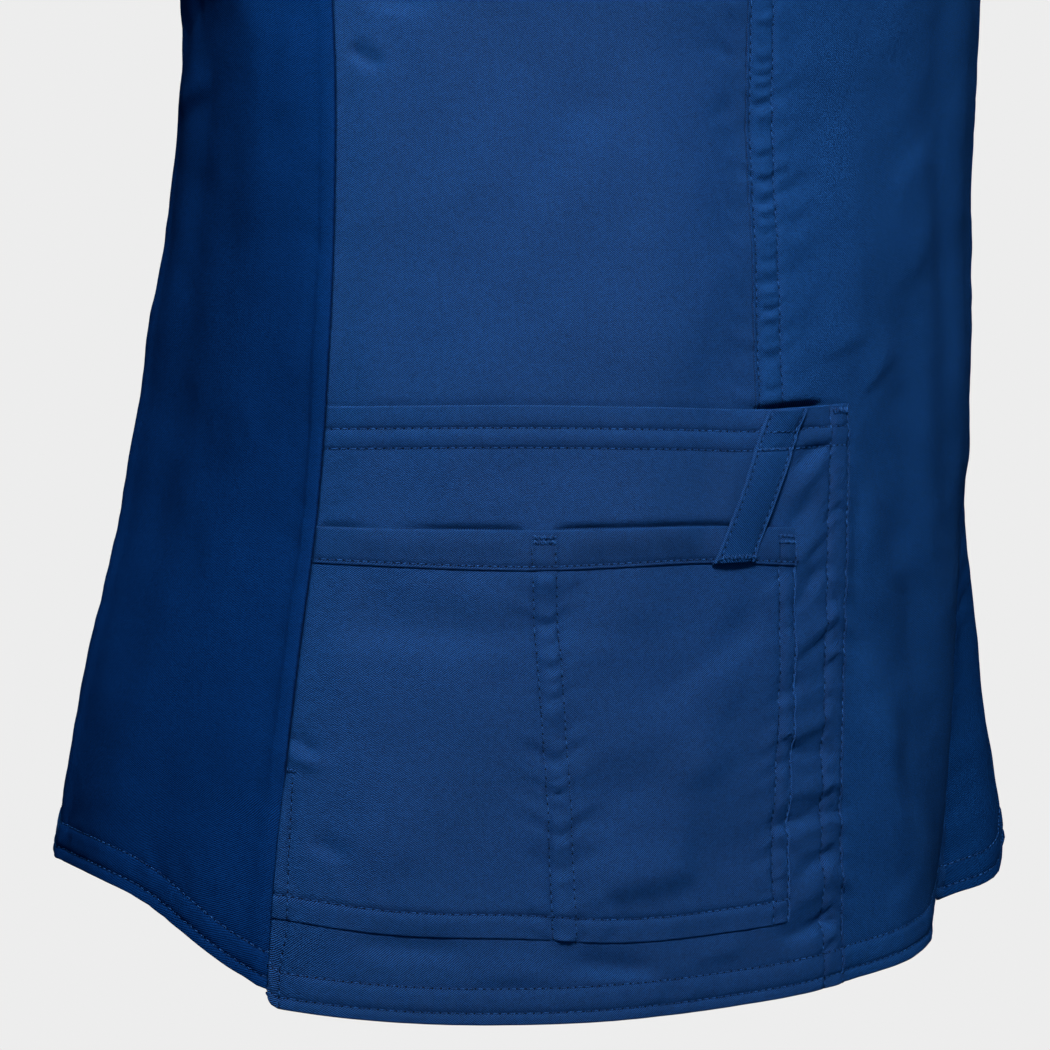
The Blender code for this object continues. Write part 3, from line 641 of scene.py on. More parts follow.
def seam_shade(distance):
    """Painted shade in the crease of a sewn edge, against 1 at a row of stitching."""
    return 1.8 * (1 - ramp(distance, 0.0002, 0.001))


def thick_near(distance, depth):
    """Share of a turned edge's extra thickness at a distance from the edge."""
    return 1 - ramp(distance, depth, depth + 0.0008)


# --- making meshes


def make_mesh(name, points, faces, material):
    mesh = bpy.data.meshes.new(name)
    mesh.from_pydata([], [], [])
    points = np.asarray(points, np.float32).reshape(-1, 3)
    faces = np.asarray(faces, np.int32)
    mesh.vertices.add(len(points))
    mesh.vertices.foreach_set("co", points.ravel())
    mesh.loops.add(faces.size)
    mesh.loops.foreach_set("vertex_index", faces.ravel())
    mesh.polygons.add(len(faces))
    mesh.polygons.foreach_set("loop_start", np.arange(len(faces), dtype=np.int32) * faces.shape[1])
    mesh.polygons.foreach_set("use_smooth", np.full(len(faces), True))
    mesh.update(calc_edges=True)
    mesh.validate()
    piece = bpy.data.objects.new(name, mesh)
    scene.collection.objects.link(piece)
    mesh.materials.append(material)
    return piece


def make_sheet(name, points, thickness_share, groove, material, closed=False):
    """A thin shell of cloth on a grid of points, with its weave's coordinates in metres.

    The groove is painted shade: 1 at a row of stitching, more at a sewn edge; the material darkens by it.
    """
    rows, columns = points.shape[:2]
    spans = columns if closed else columns - 1
    r, c = np.meshgrid(np.arange(rows - 1), np.arange(spans), indexing="ij")
    order = ((0, 0), (0, 1), (1, 1), (1, 0))
    if grid_normals(points, closed)[1]:
        order = order[::-1]
    faces = np.stack([(r + a) * columns + (c + b) % columns for a, b in order], -1).reshape(-1, 4)
    piece = make_mesh(name, points, faces, material)

    wide = np.concatenate([points, points[:, :1]], axis=1) if closed else points
    u = distances(wide, 1)
    u = u - u[:, wide.shape[1] // 2][:, None]
    v = np.broadcast_to(distances(wide, 0).mean(axis=1, keepdims=True), u.shape)
    corners = np.stack([u, v], -1)
    uv = np.stack([corners[r.ravel() + a, c.ravel() + b] for a, b in order], 1)
    layer = piece.data.uv_layers.new(name="Cloth")
    layer.data.foreach_set("uv", uv.astype(np.float32).ravel())
    # painted shade of the grooves along rows of stitching and in the seams
    set_values(piece, "PaintedShade", np.clip(groove, 0.0, 2.0))

    group = piece.vertex_groups.new(name="Turned")
    share = np.clip(np.broadcast_to(thickness_share, points.shape[:2]), 0.0, 1.0)
    levels = np.round(share.ravel() * 8).astype(int)
    for weight in np.unique(levels[levels > 0]):
        group.add(np.flatnonzero(levels == weight).tolist(), weight / 8, "REPLACE")
    shell = piece.modifiers.new("Cloth", "SOLIDIFY")
    shell.thickness = TURNED
    shell.offset = -1.0
    shell.vertex_group = "Turned"
    shell.thickness_vertex_group = CLOTH / TURNED
    return piece


def grid_normals(points, closed=False):
    """Unit normals of a grid of points, and whether its own order of rows and columns faces inward."""
    if closed:
        across = np.roll(points, -1, axis=1) - np.roll(points, 1, axis=1)
    else:
        across = np.gradient(points, axis=1)
    normal = unit(np.cross(across, np.gradient(points, axis=0)))
    middle = points[len(points) // 2]
    hub = middle.mean(axis=0) if closed else middle[0] * (0.0, 0.0, 1.0)
    inward = np.mean(np.sum(normal[len(points) // 2] * (middle - hub), axis=-1)) < 0
    return -normal if inward else normal, inward


def set_values(piece, name, values):
    """A named number at every point of a mesh, for its material to read."""
    stain = piece.data.attributes.new(name, "FLOAT", "POINT")
    stain.data.foreach_set("value", values.astype(np.float32).ravel())


def follow(at, run, line):
    """Points at distances along a line, where run is the distance of each of its own points."""
    return np.stack([np.interp(at, run, part) for part in line.T], -1)


def line_at(grid, measure, target):
    """A line up a grid of points and normals, where a measure along each row reaches its target."""
    line = []
    for row, along, goal in zip(grid, measure, np.broadcast_to(target, len(grid))):
        order = np.argsort(along)
        line.append(follow(goal, along[order], row[order]))
    return np.array(line)


class Sewing:
    """Rows of stitches on one grid of cloth, gathered into one mesh of threads."""

    def __init__(self, name, seed, points, normals):
        self.name = name
        self.draw = np.random.default_rng(seed)
        self.grid = np.concatenate([points, normals], axis=-1)
        self.stitches = []
        self.pit_shadows = []

    def round_line(self, measure, target, keep=slice(None)):
        """The kept part of a line round the grid, where a measure up each column reaches its target."""
        return line_at(self.grid.transpose(1, 0, 2), measure.T, target)[keep]

    def round(self, measure, target, keep=slice(None), pitch=STITCH):
        self.row(self.round_line(measure, target, keep), pitch)

    def up(self, measure, target, keep=slice(None), pitch=STITCH):
        self.row(line_at(self.grid, measure, target)[keep], pitch)

    def row(self, line, pitch=STITCH):
        """Stitches end to end along a line of points and normals, with a dark disc at each: painted shadow of
        a needle's pit.
        """
        run = distances(line[None, :, :3], 1)[0]
        count = int(run[-1] // pitch)
        if count < 1:
            return
        begin = np.arange(count) * pitch + (run[-1] - count * pitch) / 2
        jitter = self.draw.normal(0.0, STITCH_JITTER, (2, count))
        at = [begin + STITCH_GAP / 2 + jitter[0], begin + pitch - STITCH_GAP / 2 + jitter[1]]
        start, end = [follow(a, run, line[:, :3]) for a in at]
        normal = follow(sum(at) / 2, run, line[:, 3:])
        along = unit(end - start)
        side = unit(np.cross(normal, along))
        slant = side * (STITCH_SLANT + self.draw.normal(0.0, 0.00003, (count, 1)))
        self.stitches.append((start - slant, end + slant, normal))
        # a flat dark disc at each stitch's start: painted shadow of the needle's pit
        turn = (np.arange(6) * pi / 3)[None, :, None]
        middle = start - along * STITCH_GAP / 2 + normal * PIT_SHADOW_LIFT
        ring = along[:, None] * np.cos(turn) * PIT_SHADOW_LONG + side[:, None] * np.sin(turn) * PIT_SHADOW_WIDE
        self.pit_shadows.append(middle[:, None] + ring)

    def tack(self, line, height):
        """A bar tack: close stitches that zigzag across a line of points and normals."""
        run = distances(line[None, :, :3], 1)[0]
        at = np.arange(0.0, run[-1], TACK_PITCH)
        places = follow(at, run, line[:, :3])
        normal = follow(at, run, line[:, 3:])
        along = unit(np.gradient(places, axis=0))
        lift = normal * 0.00022
        flip = np.where(np.arange(len(at)) % 2, 1.0, -1.0)[:, None]
        side = np.cross(normal, along) * height / 2 * flip
        self.stitches.append((places + side + lift, places + along * TACK_PITCH * 0.8 - side + lift, normal))

    def make(self, parent):
        """A rounded thread for every stitch, its two ends sunk in the cloth, and the dark discs of painted
        pit shadow.
        """
        start, end, normal = [np.concatenate(part) for part in zip(*self.stitches)]
        along = end - start
        side = unit(np.cross(normal, along))
        sides = 5
        parts = [start - normal * THREAD * 0.9]
        for share, size, height in ((0.1, 0.62, -0.1), (0.5, 1.0, 0.75), (0.9, 0.62, -0.1)):
            centre = start + along * share + normal * THREAD * height
            for k in range(sides):
                turn = 2 * pi * (k + 0.25) / sides
                parts.append(centre + (side * np.cos(turn) + normal * np.sin(turn)) * THREAD * size)
        parts.append(end - normal * THREAD * 0.9)
        last = len(parts) - 1
        faces = []
        for k in range(sides):
            after = (k + 1) % sides
            faces.append((0, 1 + after, 1 + k))
            for a, b in ((1 + k, 1 + after), (1 + sides + k, 1 + sides + after)):
                faces += [(a, b, b + sides), (a, b + sides, a + sides)]
            faces.append((last, last - sides + k, last - sides + after))
        faces = np.array(faces) + len(parts) * np.arange(len(start))[:, None, None]
        points = np.stack(parts, 1).reshape(-1, 3)
        # flat discs at the needle's pits, which the thread material paints darkest: painted shadow
        pit_shadows = np.concatenate(self.pit_shadows)
        fan = np.array([(0, k, k + 1) for k in range(1, 5)]) + 6 * np.arange(len(pit_shadows))[:, None, None]
        faces = np.concatenate([faces.reshape(-1, 3), fan.reshape(-1, 3) + len(points)])
        every = np.concatenate([points, pit_shadows.reshape(-1, 3)])
        threads = make_mesh(self.name, every, faces, thread)
        set_values(threads, "PitShadow", np.arange(len(every)) >= len(points))
        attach(threads, "root")
        threads.parent = parent
        threads.matrix_parent_inverse = parent.matrix_world.inverted()
        return parent


def cover(word, thread_word, seed, places, detail, thick, groove, material):
    """A piece of cloth on the body, and the sewing that goes on it."""
    points = cloth(*places, detail)
    piece = make_sheet("cloth_" + word, points, thick, groove, material)
    return piece, Sewing("thread_" + thread_word, seed, points, grid_normals(points)[0])


# --- materials


class Shading:
    """A material under construction."""

    def __init__(self, name):
        self.material = bpy.data.materials.new(name)
        self.material.use_nodes = True
        self.nodes = self.material.node_tree.nodes
        self.link = self.material.node_tree.links.new
        self.shader = self.nodes["Principled BSDF"].inputs

    def set(self, **values):
        """Set the shader's inputs; an underscore stands for a space in their names."""
        for name, value in values.items():
            self.shader[name.replace("_", " ")].default_value = value

    def node(self, kind, place=None, **values):
        made = self.nodes.new("ShaderNode" + kind)
        for key, value in values.items():
            if key.replace("_", " ") in made.inputs:
                made.inputs[key.replace("_", " ")].default_value = value
            else:
                setattr(made, key, value)
        if place is not None:
            self.link(place, made.inputs["Vector"])
        return made.outputs

    def math(self, operation, a, b):
        made = self.nodes.new("ShaderNodeMath")
        made.operation = operation
        for value, put in zip((a, b), made.inputs):
            if isinstance(value, (int, float)):
                put.default_value = value
            else:
                self.link(value, put)
        return made.outputs[0]

    def colours(self, value, *stops):
        """The base colour, read from stops of (position, colour) at a value."""
        made = self.nodes.new("ShaderNodeValToRGB")
        elements = made.color_ramp.elements
        elements[0].position = stops[0][0]
        elements[1].position = stops[-1][0]
        for position, _ in stops[1:-1]:
            elements.new(position)
        for element, (_, colour) in zip(elements, stops):
            element.color = (*colour, 1.0)
        self.link(value, made.inputs["Fac"])
        self.link(made.outputs["Color"], self.shader["Base Color"])

    def bump(self, height, strength, distance):
        lift = self.nodes.new("ShaderNodeBump")
        lift.inputs["Strength"].default_value = strength
        lift.inputs["Distance"].default_value = distance
        self.link(height, lift.inputs["Height"])
        self.link(lift.outputs["Normal"], self.shader["Normal"])
        return self.material


def twill(name, colour, tint, contrast, bump, rough, shine):
    """Navy twill: fine diagonal ribs, flecked yarns, a faint clouding, and painted shade at seams and
    stitching.
    """
    made = Shading(name)
    place = made.node("UVMap", uv_map="Cloth")["UV"]
    turned = made.node("Mapping", place, vector_type="TEXTURE", Rotation=(0.0, 0.0, 0.96))["Vector"]
    ribs = made.node("TexWave", turned, bands_direction="X", Scale=560.0, Distortion=1.4, Detail=1.0,
                     Detail_Scale=2.2)["Fac"]
    yarns = made.node("TexNoise", place, Scale=1500.0, Detail=2.0, Roughness=0.7)["Fac"]
    flecks = made.node("TexNoise", place, Scale=420.0, Detail=3.0, Roughness=0.75)["Fac"]
    clouds = made.node("TexNoise", place, Scale=34.0, Detail=5.0, Roughness=0.62)["Fac"]
    weave = made.math("MULTIPLY", ribs, made.math("ADD", yarns, 0.35))
    shade = made.math("ADD", made.math("MULTIPLY", weave, 1.4), made.math("MULTIPLY", flecks, 0.9))
    shade = made.math("MULTIPLY", made.math("SUBTRACT", shade, 1.045), contrast)
    shade = made.math("ADD", shade, made.math("MULTIPLY", clouds, 0.2))
    shade = made.math("ADD", shade, 0.495)
    # painted shade: the colour darkens along rows of stitching and sewn edges
    groove_painted_shade = made.node("Attribute", attribute_name="PaintedShade")["Fac"]
    shade = made.math("SUBTRACT", shade, made.math("MULTIPLY", groove_painted_shade, 0.27))
    made.colours(shade, (0.4, [c * 0.3 for c in colour]), (0.64, colour), (0.88, tint))
    spread = made.nodes.new("ShaderNodeMapRange")
    spread.inputs["To Min"].default_value = rough - 0.08
    spread.inputs["To Max"].default_value = rough + 0.08
    made.link(flecks, spread.inputs["Value"])
    made.link(spread.outputs["Result"], made.shader["Roughness"])
    made.set(Specular_IOR_Level=shine)
    relief = made.math("ADD", made.math("MULTIPLY", weave, 0.7), made.math("MULTIPLY", flecks, 0.6))
    return made.bump(relief, bump, 0.00022)


def thread_material():
    """Navy thread with a fine twist; the needle pits' discs take its darkest colour as painted shadow."""
    made = Shading("thread")
    place = made.node("TexCoord")["Object"]
    twist = made.node("TexNoise", place, Scale=900.0)["Fac"]
    # painted shadow: the pit discs fall to the darkest colour
    shade = made.math("SUBTRACT", twist, made.node("Attribute", attribute_name="PitShadow")["Fac"])
    made.colours(shade, (0.05, (0.0004, 0.007, 0.032)), (0.42, (0.004, 0.032, 0.125)),
                 (0.64, (0.017, 0.105, 0.34)))
    made.set(Roughness=0.55, Specular_IOR_Level=0.12)
    return made.bump(twist, 0.4, 0.0001)


NAVY = (0.003, 0.04, 0.168)
NAVY_LIT = (0.012, 0.096, 0.34)
# The side panels' twill is the fronts' navy made darker: painted shade on the sides that turn away from the
# key light.
SHADED_SIDE_NAVY = (0.0006, 0.032, 0.166)
SHADED_SIDE_NAVY_LIT = (0.0024, 0.05, 0.22)
navy = twill("navy_twill", NAVY, NAVY_LIT, 1.32, 1.0, 0.66, 0.11)
navy_shaded_side = twill("navy_twill_shaded_side", SHADED_SIDE_NAVY, SHADED_SIDE_NAVY_LIT, 0.8, 0.5, 0.8, 0.04)
navy_shaded_left = twill("navy_twill_shaded_left", (0.0008, 0.032, 0.16), (0.005, 0.07, 0.265), 1.25, 1.0, 0.74, 0.06)
NARROW = 0.86            # the strap and the band look this much darker than the rest
navy_narrow = twill(
    "navy_twill_narrow", [c * NARROW for c in NAVY], [c * NARROW for c in NAVY_LIT], 1.32, 1.0, 0.66, 0.11)
thread = thread_material()

# --- the body panels

TINY = -0.02             # degrees between two sewn panels: they lap by a hair, so no light shows through


def front_edges(side):
    def edges(level):
        seam = seam_in_from_side(level, FRONT_SEAM, FRONT_SEAM)
        outer = np.where(level > SEAM_TOP, smooth_read(ARMHOLE, "level", "front", level), seam) + TINY
        share = np.clip((level - V_POINT) / (RIDGE - V_POINT), 0.0, 1.0)
        inner = around_of(NECK_HALF * share**V_BEND, level) - TINY
        return (inner, outer) if side > 0 else (180.0 - inner, 180.0 - outer)
    return edges


def ridge(around):
    """The shoulder seam, as a curve for a grid."""
    return RIDGE - 0.0001 + 0 * around


def curve_of(data):
    """A pocket's edge, as a curve for a grid."""
    middle = float(np.mean(data["level"]))
    return lambda around: level_at(data, around, middle)


def mouth_dip(level, top):
    """The hollow just above a pocket's mouth, which goes on behind it."""
    return -(1 - ramp(level, top - 0.0004, top + 0.0026)) * ramp(level, top - 0.02, top - 0.002)


def vent_share(level):
    """0 above a vent's top and 1 below it."""
    return 1 - ramp(level, VENT_TOP - 0.01, VENT_TOP)


def vent_row(level):
    """How far the vent's row of stitching lies from its edge: it draws in towards the top."""
    return VENT_ROW - 0.0046 * np.clip((level - HEM) / (VENT_TOP - HEM), 0.0, 1.0)


def sewn_edge(distance, share=1.0):
    """An edge that is sewn into a seam: it rolls in."""
    return roll(distance, SEAM_ROLL, SEAM_DIP) * share


def hem_curves(hem, about):
    """A hem's edge and its two rows of stitching, as curves for a grid."""
    return [(hem, EDGE, about[0])] + [
        (lambda a, row=row: hem(a) + row, ROW, level) for row, level in zip(HEM_ROWS, about[1:])]


def flat_at(level):
    """A curve at one level all along, for a grid."""
    return lambda around: level + 0 * around


def vent_tack(sewing, grid):
    """A bar tack across the top of a vent."""
    there = np.abs(grid.level[:, -1] - VENT_TOP).argmin()
    sewing.tack(sewing.grid[there, (grid.end[there] > 0.0008) & (grid.end[there] < 0.0048)], 0.0016)


def make_front(side, word, seed):
    left = side > 0
    columns = [(0.0, EDGE), (TOP_ROWS[0], ROW[2:]), (TOP_ROWS[1], ROW), (-VENT_ROW, ROW), (0.0, -EDGE[::-1])]
    curves = hem_curves(front_hem, (-0.69, -0.686, -0.677)) + [
        (lambda a: -0.655 + 0.5 * hem_rise(a), PLAIN, -0.655),
        (curve_of(POCKET_A_TOP), MOUTH, -0.474),
        (flat_at(-0.32), PLAIN, -0.32),
        (ridge, -EDGE[::-1], 0.049),
    ]
    steps = (0.002, 0.002, 0.002, 0.0017 if left else 0.0055, 0.0012 if left else 0.0014, 0.0021)
    grid = Grid(front_edges(side), curves, steps, columns, 0.0024)
    level = grid.level
    around = grid.around
    across = across_of(around, level)

    # The seam rolls in; below it the vent's edge is turned. The centre front rolls in up to the V.
    vent = vent_share(level)
    from_hem = level - front_hem(around)
    on_seam = 1 - ramp(level, V_POINT - 0.004, V_POINT + 0.004)
    on_centre = (level > -0.478) if left else 1 - on_seam
    rows = crossed(sewn(from_hem, *HEM_ROWS), sewn(grid.end, vent_row(level)) * vent,
                   sewn(grid.start, *TOP_ROWS) * on_centre)
    detail = sewn_edge(grid.end, 1 - vent) + roll(grid.end, EDGE_ROLL) * vent + sewn_edge(grid.high)
    detail = detail + sewn_edge(grid.start, on_seam) + turned_edge(grid.start, TOP_ROWS) * (1 - on_seam)
    detail = detail + turned_edge(from_hem, HEM_ROWS) - SINK * rows
    mouth = level_at(POCKET_A_TOP, around, level)
    hold = 0.0004 + 0.0026 * ramp(across, -0.006, 0.01) * (1 - ramp(across, 0.026, 0.036))
    detail = detail + mouth_dip(level, mouth) * hold * (across < 0.045)
    hidden = ramp(mouth - level, 0.004, 0.01) * ramp(edge_at(POCKET_A_EDGE, level) - across, 0.0, 0.004)
    detail = detail - 0.0004 * hidden
    thick = np.maximum(thick_near(from_hem, HEM_ROWS[1]), thick_near(grid.end, VENT_ROW) * vent)
    thick = np.maximum(thick, thick_near(grid.start, TOP_ROWS[1]) * (1 - on_seam))
    # painted shade along the rows of stitching and in the seams; half as much along the vent's turned edge
    painted_shade = rows + seam_shade(grid.end) * (1 - 0.5 * vent) + seam_shade(grid.start) * on_seam
    painted_shade = painted_shade + seam_shade(grid.high)
    piece, sewing = cover("front_" + word, "front_" + word, seed, (around, level), detail, thick, painted_shade, navy)
    for row in TOP_ROWS:
        sewing.up(grid.start, row, level[:, 0] > (-0.4735 if left else V_POINT))
    if left:
        for row in HEM_ROWS:
            sewing.round(from_hem, row, across[0] > 0.0408)
        edge = level[:, -1]
        sewing.up(grid.end, vent_row(edge), (edge < VENT_TOP) & (edge > -0.685))
        vent_tack(sewing, grid)
    return sewing.make(piece)


def side_edges(side):
    def edges(level):
        lap = (0.4 if side > 0 else 2.3) * vent_share(level)
        front = seam_in_from_side(level, FRONT_SEAM, FRONT_SEAM) - TINY + lap
        back = seam_in_from_side(level, BACK_SEAM_LOW, BACK_SEAM_WAIST) - TINY
        return (front, -back) if side > 0 else (180.0 - front, 180.0 + back)
    return edges


def make_side(side, word, seed):
    left = side > 0
    columns = [(0.0, EDGE), (0.006, ROW), (0.0, -EDGE[::-1])]

    def hem(around):
        if left:
            return back_hem(180.0 - around) + LEFT_HEM_RISE * (1 - ramp(FRONT_SEAM - around, 0.0, 11.0))
        return back_hem(around)

    def top(around):
        inward = np.abs(around if left else 180.0 - around)
        return smooth_read(UNDERARM, "front", "level", np.minimum(inward, ARM_SEAM)) - 0.0001

    curves = hem_curves(hem, (-0.66, -0.655, -0.646)) + [
        (lambda a: -0.6 + 0.3 * (hem(a) + 0.66), PLAIN, -0.6),
        (flat_at(-0.23), PLAIN, -0.23),
        (top, -EDGE[::-1], -0.197),
    ]
    grid = Grid(side_edges(side), curves, (0.002, 0.002, 0.0025, 0.0026, 0.0022), columns, 0.0024)
    level = grid.level
    vent = vent_share(level)
    lap = (0.0008 if left else 0.0042) * vent
    from_hem = level - hem(grid.around)
    rows = sewn(from_hem, *HEM_ROWS)
    dip = -0.0016 * (1 - ramp(grid.start - lap, -0.001, 0.006))
    detail = sewn_edge(grid.start, 1 - vent) + dip * vent + sewn_edge(grid.end) + sewn_edge(grid.high)
    detail = detail + 0.00016 * np.exp(-((grid.start - 0.0017) / 0.0008)**2) * (1 - vent)
    detail = detail + turned_edge(from_hem, HEM_ROWS) - SINK * rows
    thick = np.maximum(thick_near(from_hem, HEM_ROWS[1]), thick_near(grid.start, 0.0) * vent)
    # painted shade along the hem's rows and in the seams, and painted shadow under the front's lapped edge at
    # the vent
    painted_shade = rows + seam_shade(grid.start - lap) + seam_shade(grid.end) + seam_shade(grid.high)
    # the side panels take the twill darkened with painted shade
    piece, sewing = cover("side_panel_" + word, "side_" + word, seed, grid.places, detail, thick, painted_shade,
                          navy_shaded_left if left else navy_shaded_side)
    for row in HEM_ROWS:
        sewing.round(from_hem, row, grid.start[0] > (0.001 if left else 0.0045))
    return sewing.make(piece)


def make_back(seed):
    half = np.concatenate([
        (0.0, 0.0002, 0.0006, 0.0012, 0.0022, 0.004),
        np.linspace(0.0092, NECK_SHARE - 0.004, 58),
        NECK_SHARE + (0.5 - NECK_SHARE) * (1 - np.cos(np.linspace(0.0, pi / 2, 34)))])
    shares = np.concatenate([half, 1 - half[-2::-1]])
    neck = 1 - np.abs(1 - np.clip((shares - NECK_SHARE) / (0.5 - NECK_SHARE), 0.0, 2.0))
    dip = np.sqrt(1 - (1 - neck)**2)
    hem = back_hem(180.0 + BACK_SEAM_LOW + (180.0 - 2 * BACK_SEAM_LOW) * shares)
    top = ridge(shares) + (BACK_NECK - RIDGE) * dip
    keys = [(hem, EDGE), (hem + HEM_ROWS[0], ROW), (hem + HEM_ROWS[1], ROW), (-0.59 + 0 * hem, PLAIN),
            (SEAM_TOP + 0 * hem, PLAIN), (top - TOP_ROWS[1], ROW), (top - TOP_ROWS[0], ROW[:3]),
            (top, -EDGE[::-1])]
    level = lay(keys, between(keys, (0.002, 0.002, 0.003, 0.0031, 0.003, 0.002, 0.001))).T
    seam = seam_in_from_side(level, BACK_SEAM_LOW, BACK_SEAM_WAIST)
    edge = np.where(level > SEAM_TOP, smooth_read(ARMHOLE, "level", "back", level), seam) + TINY
    around = 180.0 + edge + (180.0 - 2 * edge) * shares
    base = smooth_body(around, level)
    from_left = distances(base, 1)
    from_right = from_left[:, -1:] - from_left
    from_top = distances(base[::-1], 0)[::-1]
    on_neck = ramp(dip, 0.0, 0.25)[None]
    rows = sewn(level - hem, *HEM_ROWS) + sewn(from_top, *TOP_ROWS) * on_neck
    detail = sewn_edge(from_left) + sewn_edge(from_right) + sewn_edge(from_top, 1 - on_neck) - SINK * rows
    detail = detail + turned_edge(from_top, TOP_ROWS) * on_neck + turned_edge(level - hem, HEM_ROWS)
    thick = np.maximum(thick_near(level - hem, HEM_ROWS[1]), thick_near(from_top, TOP_ROWS[1]) * on_neck)
    # painted shade along the rows of stitching and in the side and shoulder seams
    painted_shade = rows + seam_shade(from_left) + seam_shade(from_right) + seam_shade(from_top) * (1 - on_neck)
    piece, sewing = cover("back", "back", seed, (around, level), detail, thick, painted_shade, navy)
    for row in HEM_ROWS:
        sewing.round(level - hem, row)
    for row in TOP_ROWS:
        sewing.round(from_top, row, dip > 0.02)
    return sewing.make(piece)


# --- the sleeves


def armhole_line(count):
    """Evenly spaced points round an armhole, from the sleeve's seam up the front and down the back."""
    low = np.linspace(SLEEVE_SEAM_AT, ARM_SEAM, 16)[:-1]
    rise = np.linspace(SEAM_TOP, RIDGE - 0.0001, 90)
    fall = rise[::-1][1:]
    back_low = np.linspace(ARM_SEAM, -SLEEVE_SEAM_AT, 30)[1:-1]
    under = [smooth_read(UNDERARM, "front", "level", np.abs(inward)) for inward in (low, back_low)]
    front, back = smooth_read(ARMHOLE, "level", "front", rise), smooth_read(ARMHOLE, "level", "back", fall)
    around = np.concatenate([low, front, -back, -back_low])
    level = np.concatenate([under[0], rise, fall, under[1]])
    line = smooth_body(around, level) + outward(around, level) * fold_depth(around, level, FOLDS)[..., None]
    closed = np.concatenate([line, line[:1]])
    run = distances(closed[None], 1)[0]
    return follow(np.linspace(0.0, run[-1], count, endpoint=False), run, closed)


def make_sleeve(side, word, seed):
    ring = armhole_line(168)
    lengths = np.linalg.norm(np.roll(ring, -1, axis=0) - ring, axis=1)
    share = np.concatenate([[0.0], np.cumsum(lengths)[:-1]]) / lengths.sum()
    lean = np.radians(SLEEVE_DROP)
    down = np.array((np.sin(lean), 0.0, -np.cos(lean)))
    over = np.array((np.cos(lean), 0.0, np.sin(lean)))
    turn = np.interp(share, (0.0, share[np.argmax(ring[:, 2])], 1.0), (0.0, pi, 2 * pi))
    cuff = (np.array(CUFF_CENTRE) - np.outer(np.cos(turn), over) * CUFF_RADII[0]
            - np.outer(np.sin(turn), (0.0, 1.0, 0.0)) * CUFF_RADII[1])
    high = (0.5 - 0.5 * np.cos(turn))[:, None]
    leave = unit(np.array(LEAVE_LOW) * (1 - high) + np.array(LEAVE_HIGH) * high)
    reach = np.linalg.norm(cuff - ring, axis=1, keepdims=True)
    start = ring + leave * 0.00005
    pull = start + leave * reach * SLEEVE_PULL
    push = cuff - down * reach * SLEEVE_PUSH
    s = np.linspace(0.0, 1.0, 120)[:, None, None]
    dense = (1 - s)**3 * start + 3 * (1 - s)**2 * s * pull + 3 * (1 - s) * s**2 * push + s**3 * cuff
    run = distances(dense, 0)
    whole = run[-1]
    keys = [(0 * whole, EDGE), (whole - HEM_ROWS[1], ROW), (whole - HEM_ROWS[0], ROW), (whole, -EDGE[::-1])]
    spots = lay(keys, [44, 2, 1]).T
    base = np.stack([follow(spots[:, c], run[:, c], dense[:, c]) for c in range(len(ring))], axis=1)

    # Creases are measured round the sleeve at the arm, and along it.
    girth = 2 * pi * ARM_RADIUS
    length = float(np.mean(whole))
    round_arm = np.broadcast_to(turn * ARM_RADIUS, spots.shape)
    down_arm = spots / whole * length
    detail = np.zeros(spots.shape)
    for crease in rows_of(SLEEVE_CREASES):
        ends = [(np.radians(crease["turn" + n]) * ARM_RADIUS, crease["share" + n] * length) for n in "12"]
        detail = detail + crease_depth(round_arm, down_arm, *ends, crease["width"], crease["depth"], girth)
    for size, height, number in ((0.04, 0.001, seed), (0.016, 0.00035, seed + 1), (0.008, 0.0001, seed + 2)):
        cells = round(girth / size)
        detail = detail + height * bumps(turn / (2 * pi) * cells, down_arm / size + 9, number, cells)
    over_arm = ramp(-np.cos(turn), -0.6, 0.6)
    detail = detail + pucker(round_arm, spots, 0.0, 0.01, 0.0008, 0.012, 0.5, seed + 3) * over_arm
    from_cuff = whole - spots
    detail = detail + pucker(round_arm, from_cuff - 0.0085, 0.0043, 0.012, 0.00055, 0.009, 0.7, seed + 4)
    detail = detail * ramp(spots, 0.0, 0.006)
    fitted = 0.0012 * np.exp(-((spots - 0.006) / 0.005)**2) * (0.4 + 0.6 * high[:, 0])
    rows = sewn(from_cuff, *HEM_ROWS)
    detail = detail + fitted + sewn_edge(spots) + turned_edge(from_cuff, HEM_ROWS) - SINK * rows
    points = base + grid_normals(base, closed=True)[0] * detail[..., None]
    points[..., 0] *= side
    thick = thick_near(from_cuff, HEM_ROWS[1])
    # painted shade along the cuff's rows of stitching and in the armhole seam
    piece = make_sheet("cloth_sleeve_" + word, points, thick, rows + seam_shade(spots), navy, closed=True)
    sewing = Sewing("thread_sleeve_" + word, seed, points, grid_normals(points, closed=True)[0])
    for row in HEM_ROWS:
        line = sewing.round_line(from_cuff, row)
        sewing.row(np.concatenate([line, line[:1]]))
    return sewing.make(piece)


# --- the pockets

# Columns of pocket B and of its band: at the rows along the free edge, and at the divider's rows.
B_COLUMNS = [(0.0, FREE_EDGE), (B_ROWS[0], ROW[1:]), (B_ROWS[1], ROW), (0.103, ROW), (0.111, ROW)]


def pocket_edges(data):
    """From a pocket's free edge on the left front to the right side-front seam."""
    def edges(level):
        start = around_of(edge_at(data, level), level)
        return start, 180.0 - seam_in_from_side(level, FRONT_SEAM, FRONT_SEAM) - TINY
    return edges


def raised(curve, height):
    """A curve moved up the cloth, for a grid."""
    return lambda around: curve(around) + height


def right_end(grid, height):
    """The end of a pocket layer that is sewn into the right seam, and turned below the vent's top."""
    vent = vent_share(grid.level)
    held = roll(grid.end, SEAM_ROLL + height * 0.5, SEAM_DIP + height)
    return held * (1 - vent) + roll(grid.end, EDGE_ROLL) * vent


